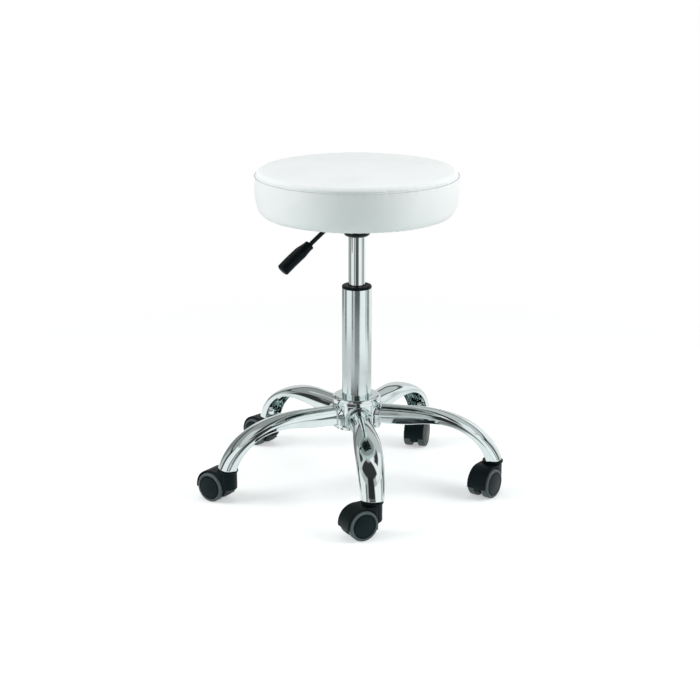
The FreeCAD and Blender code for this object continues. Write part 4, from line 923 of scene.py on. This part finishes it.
STAPLES, STAPLE_HALF, STAPLE_IN, STAPLE_DROP = 40, 5.0, 7.0, 0.35
STAPLE_BULGE, STAPLE_THICK, STAPLE_SKEW = 0.6, 0.5, 0.8
turns = np.arange(STAPLES) * 2 * np.pi / STAPLES + 0.05 * np.sin(np.arange(STAPLES) * 2.3)
circle = hem_in + STAPLE_IN
skew = STAPLE_SKEW * np.sin(np.arange(STAPLES))
ends = [round_seat(circle + way * skew, FOOT - STAPLE_DROP, turns + way * STAPLE_HALF / circle) * MM
        for way in (-1, 1)]
lift = round_seat(0 * turns, -1.0, turns) * STAPLE_BULGE * MM
add_piece("hem_staples", [capsules(*ends, lift, STAPLE_THICK * MM)], "seat", steel)
print(STITCHES, "stitches and", STAPLES, "staples")

# %% [markdown]
# ## Camera
# The photograph was taken from the front with a long lens, looking down on the seat a little. The camera
# could be placed by eye. Here its place, tilt and focal length come from fitting the castors, column and
# seat to the picture, in a frame turned a few degrees from the CAD one.

# %% Camera
PHOTO_TURN, CAMERA_BACK, CAMERA_HEIGHT = -6.22, 2590.77, 1015.74
FOCAL_PIXELS, IMAGE_PIXELS, SENSOR = 1600, 700, 36.0
eye = turned_about_z(np.array([0, -CAMERA_BACK, CAMERA_HEIGHT]), PHOTO_TURN) * MM
yaw, pitch = math.radians(-0.252), math.radians(16.75)
ahead = np.array([math.sin(yaw) * math.cos(pitch), math.cos(yaw) * math.cos(pitch), -math.sin(pitch)])
camera = bpy.data.objects.new("camera", bpy.data.cameras.new("camera"))
camera.data.sensor_width, camera.data.sensor_fit = SENSOR, "HORIZONTAL"
camera.data.lens = FOCAL_PIXELS / IMAGE_PIXELS * SENSOR
camera.data.clip_end = 100
camera.location = eye
camera.rotation_euler = Vector(turned_about_z(ahead, PHOTO_TURN)).to_track_quat("-Z", "Y").to_euler()
scene.collection.objects.link(camera)
scene.camera = camera
print("camera at", np.round(eye, 3), "lens", round(camera.data.lens, 1))

# %% [markdown]
# ## Studio
# The stool stands on a white sweep between soft boxes. A sweep could be a bent sheet behind the stool. A
# flat floor that fades into a white world gives the same picture and works from every side. Both are white
# to the camera, and light the stool at a plain level.

# %% Floor, world and lamps


def seen_rays(tree):
    """1 for rays from the camera, mirrors and glass, and 0 for those that only carry light."""
    path = tree.nodes.new("ShaderNodeLightPath")
    first, second = tree.nodes.new("ShaderNodeMath"), tree.nodes.new("ShaderNodeMath")
    first.operation = second.operation = "MAXIMUM"
    tree.links.new(path.outputs["Is Camera Ray"], first.inputs[0])
    tree.links.new(path.outputs["Is Glossy Ray"], first.inputs[1])
    tree.links.new(first.outputs[0], second.inputs[0])
    tree.links.new(path.outputs["Is Transmission Ray"], second.inputs[1])
    return second.outputs[0]


FLOOR_GLOW, WORLD_LIGHT = 0.42, 0.17
FADE_FROM, FADE_TO = 0.42, 1.3
world = bpy.data.worlds.new("white_studio")
scene.world = world
world.use_nodes = True
tree = world.node_tree
light = tree.nodes["Background"]
light.inputs["Color"].default_value = (0.88, 0.98, 1.0, 1)
light.inputs["Strength"].default_value = WORLD_LIGHT
white = tree.nodes.new("ShaderNodeBackground")
white.inputs["Color"].default_value = (1, 1, 1, 1)
white.inputs["Strength"].default_value = 1.0
mix = tree.nodes.new("ShaderNodeMixShader")
tree.links.new(seen_rays(tree), mix.inputs[0])
tree.links.new(light.outputs[0], mix.inputs[1])
tree.links.new(white.outputs[0], mix.inputs[2])
tree.links.new(mix.outputs[0], tree.nodes["World Output"].inputs["Surface"])

sweep = bpy.data.materials.new("white_sweep")
sweep.use_nodes = True
tree = sweep.node_tree
paper = tree.nodes["Principled BSDF"]
paper.inputs["Base Color"].default_value = (0.67, 0.69, 0.685, 1)
paper.inputs["Roughness"].default_value = 1.0
paper.inputs["Specular IOR Level"].default_value = 0.0
seen = seen_rays(tree)
glow = tree.nodes.new("ShaderNodeEmission")
tree.links.new(ranged(sweep, seen, 0, FLOOR_GLOW, 0, 1), glow.inputs["Strength"])
near = tree.nodes.new("ShaderNodeAddShader")
tree.links.new(paper.outputs[0], near.inputs[0])
tree.links.new(glow.outputs[0], near.inputs[1])
far = tree.nodes.new("ShaderNodeEmission")
tree.links.new(seen, far.inputs["Strength"])
place = add_node(sweep, "ShaderNodeTexCoord", {}).outputs["Object"]
away = add_node(sweep, "ShaderNodeVectorMath", {0: place}, operation="LENGTH").outputs["Value"]
blend = tree.nodes.new("ShaderNodeMixShader")
tree.links.new(ranged(sweep, away, 0, 1, FADE_FROM, FADE_TO), blend.inputs[0])
tree.links.new(near.outputs[0], blend.inputs[1])
tree.links.new(far.outputs[0], blend.inputs[2])
tree.links.new(blend.outputs[0], tree.nodes["Material Output"].inputs["Surface"])


def panel(name, corners, material):
    """A flat four-cornered stage panel, with its corners in the photograph's frame."""
    mesh = bpy.data.meshes.new(name)
    mesh.from_pydata(turned_about_z(np.array(corners, float), PHOTO_TURN).tolist(), [], [(0, 1, 2, 3)])
    mesh.materials.append(material)
    made = bpy.data.objects.new(name, mesh)
    scene.collection.objects.link(made)
    return made


floor = panel("floor", [(-20, -20, 0), (20, -20, 0), (20, 20, 0), (-20, 20, 0)], sweep)
floor.visible_glossy = False


def soft_box(name, place, target, width, height, watts, colour=(1, 1, 1)):
    """An area lamp in the photograph's frame, aimed at a point."""
    lamp = bpy.data.lights.new(name, "AREA")
    lamp.shape, lamp.size, lamp.size_y, lamp.energy, lamp.color = "RECTANGLE", width, height, watts, colour
    made = bpy.data.objects.new(name, lamp)
    place, target = (turned_about_z(np.array(point, float), PHOTO_TURN) for point in (place, target))
    made.location = place
    made.rotation_euler = Vector(target - place).to_track_quat("-Z", "Y").to_euler()
    made.visible_glossy = False
    scene.collection.objects.link(made)
    return made


soft_box("top_box", (0, 0.2, 2.3), (0, 0, 0.4), 1.8, 1.8, 21.5)
soft_box("right_box", (1.77, -0.35, 1.05), (0, 0, 0.4), 1.2, 1.5, 31)
soft_box("low_fill", (0, -0.75, 0.03), (0, 0, 0.48), 1.0, 0.25, 3.1, (0.82, 1.0, 0.97))
soft_box("left_box", (-1.77, -0.35, 1.05), (0, 0, 0.4), 1.2, 1.5, 31)
print("floor, world and", len(bpy.data.lights), "lamps")

# %% [markdown]
# ### A tent for the chrome
# Chrome only looks like chrome when it has something dark to show, and a studio hangs a tent of pale and
# dark cloth round the set. It could be a picture of a room wrapped round the world. Here it is a surface
# with a shade at every point, which only mirror reflections see: it takes no light from the seat and throws
# no shadow.

# %% A tent round the set for reflections
# A panel's name, its middle and half width in degrees from the camera's side, its run in metres from the
# middle of the floor outwards and up the wall, and its shade.
PANELS = (
    ("open floor", 0, 181, 0.55, 1.9, 0.66),
    ("front mat", -14, 31, 0.37, 0.56, 0.08),
    ("front floor", 3, 19, 0.66, 1.3, 0.3),
    ("left box", -64, 33, 0.9, 2.9, 1.0),
    ("left slit", -34, 5, 0.9, 2.9, 0.15),
    ("left post", -92, 7, 0.9, 2.7, 0.04),
    ("left rear gap", -134, 16, 1.1, 2.4, 0.25),
    ("right box", 58, 36, 0.7, 2.9, 1.05),
    ("right slit", 76, 5, 0.9, 2.6, 0.35),
    ("right post", 95, 7, 0.9, 2.7, 0.04),
    ("right rear box", 134, 20, 0.9, 2.5, 1.0),
    ("camera side", 5, 20, 1.12, 2.0, 0.1),
    ("rear wall", 180, 26, 1.4, 2.2, 0.75),
    ("rear edge", 180, 85, 2.28, 2.44, 0.04),
    ("rear roof, right", 135, 46, 2.5, 4.0, 0.62),
    ("rear roof, left", -135, 46, 2.5, 4.0, 0.36),
    ("right roof", 84, 40, 3.0, 4.62, 1.0),
    ("left roof", -96, 36, 3.0, 4.5, 0.7),
    ("rear beam", 180, 100, 3.7, 4.22, 0.05),
    ("front roof", -4, 62, 3.5, 4.56, 0.04),
    ("camera opening", 2, 22, 2.0, 3.6, 0.03),
)


def between(value, low, high, soft):
    """1 between two limits, falling off smoothly over a soft edge."""
    return smooth((value - low) / soft + 0.5) * smooth((high - value) / soft + 0.5)


def tent_shade(azimuth, run):
    """White floor at the middle, mid-grey cloth, and each panel laid over what is there with soft edges."""
    shade = np.full(np.broadcast(azimuth, run).shape, 0.5)
    shade = shade + (1.0 - shade) * between(run, -1, 0.75, 0.6)
    for name, middle, half, low, high, value in PANELS:
        off = np.abs((azimuth - middle + 180) % 360 - 180)
        mask = between(off, -360, half, 7) * between(run, low, high, 0.14)
        shade = shade + (value - shade) * mask
    return shade


TENT_RADIUS, TENT_TOP, FLOOR_ROUND, ROOF_ROUND, FLOOR_GAP = 1.6, 1.9, 0.3, 0.5, 0.0005
floor_out, roof_out, roof_low = TENT_RADIUS - FLOOR_ROUND, TENT_RADIUS - ROOF_ROUND, TENT_TOP - ROOF_ROUND
wall = np.concatenate([
    np.linspace((0, FLOOR_GAP), (floor_out, FLOOR_GAP), 70),
    arc_points((floor_out, FLOOR_ROUND), FLOOR_ROUND, -90, 0, 24)[1:],
    np.linspace((TENT_RADIUS, FLOOR_ROUND), (TENT_RADIUS, roof_low), 60)[1:],
    arc_points((roof_out, roof_low), ROOF_ROUND, 0, 90, 30)[1:],
    np.linspace((roof_out, TENT_TOP), (0, TENT_TOP), 40)[1:]])
run = np.concatenate([[0], np.cumsum(np.linalg.norm(np.diff(wall, axis=0), axis=1))])
azimuth = np.arange(360.0)[:, None]
aim = np.radians(azimuth)
tent_grid = np.stack([wall[:, 0] * np.sin(aim), -wall[:, 0] * np.cos(aim), wall[:, 1] + 0 * aim], -1)
mesh = bpy.data.meshes.new("tent")
mesh.from_pydata(turned_about_z(tent_grid, PHOTO_TURN).reshape(-1, 3).tolist(), [],
                 quads(360, len(wall), True, False).tolist())
shades = mesh.attributes.new("shade", "FLOAT", "POINT")
shades.data.foreach_set("value", tent_shade(azimuth, run[None, :]).ravel().astype(np.float32))
cloth = bpy.data.materials.new("tent_cloth")
cloth.use_nodes = True
tree = cloth.node_tree
glow = tree.nodes.new("ShaderNodeEmission")
read = add_node(cloth, "ShaderNodeAttribute", {}, attribute_name="shade")
tree.links.new(read.outputs["Fac"], glow.inputs["Strength"])
tree.links.new(glow.outputs[0], tree.nodes["Material Output"].inputs["Surface"])
mesh.materials.append(cloth)
tent = bpy.data.objects.new("tent", mesh)
scene.collection.objects.link(tent)
tent.visible_camera = tent.visible_diffuse = tent.visible_shadow = tent.visible_transmission = False
print("tent of", len(PANELS), "panels")
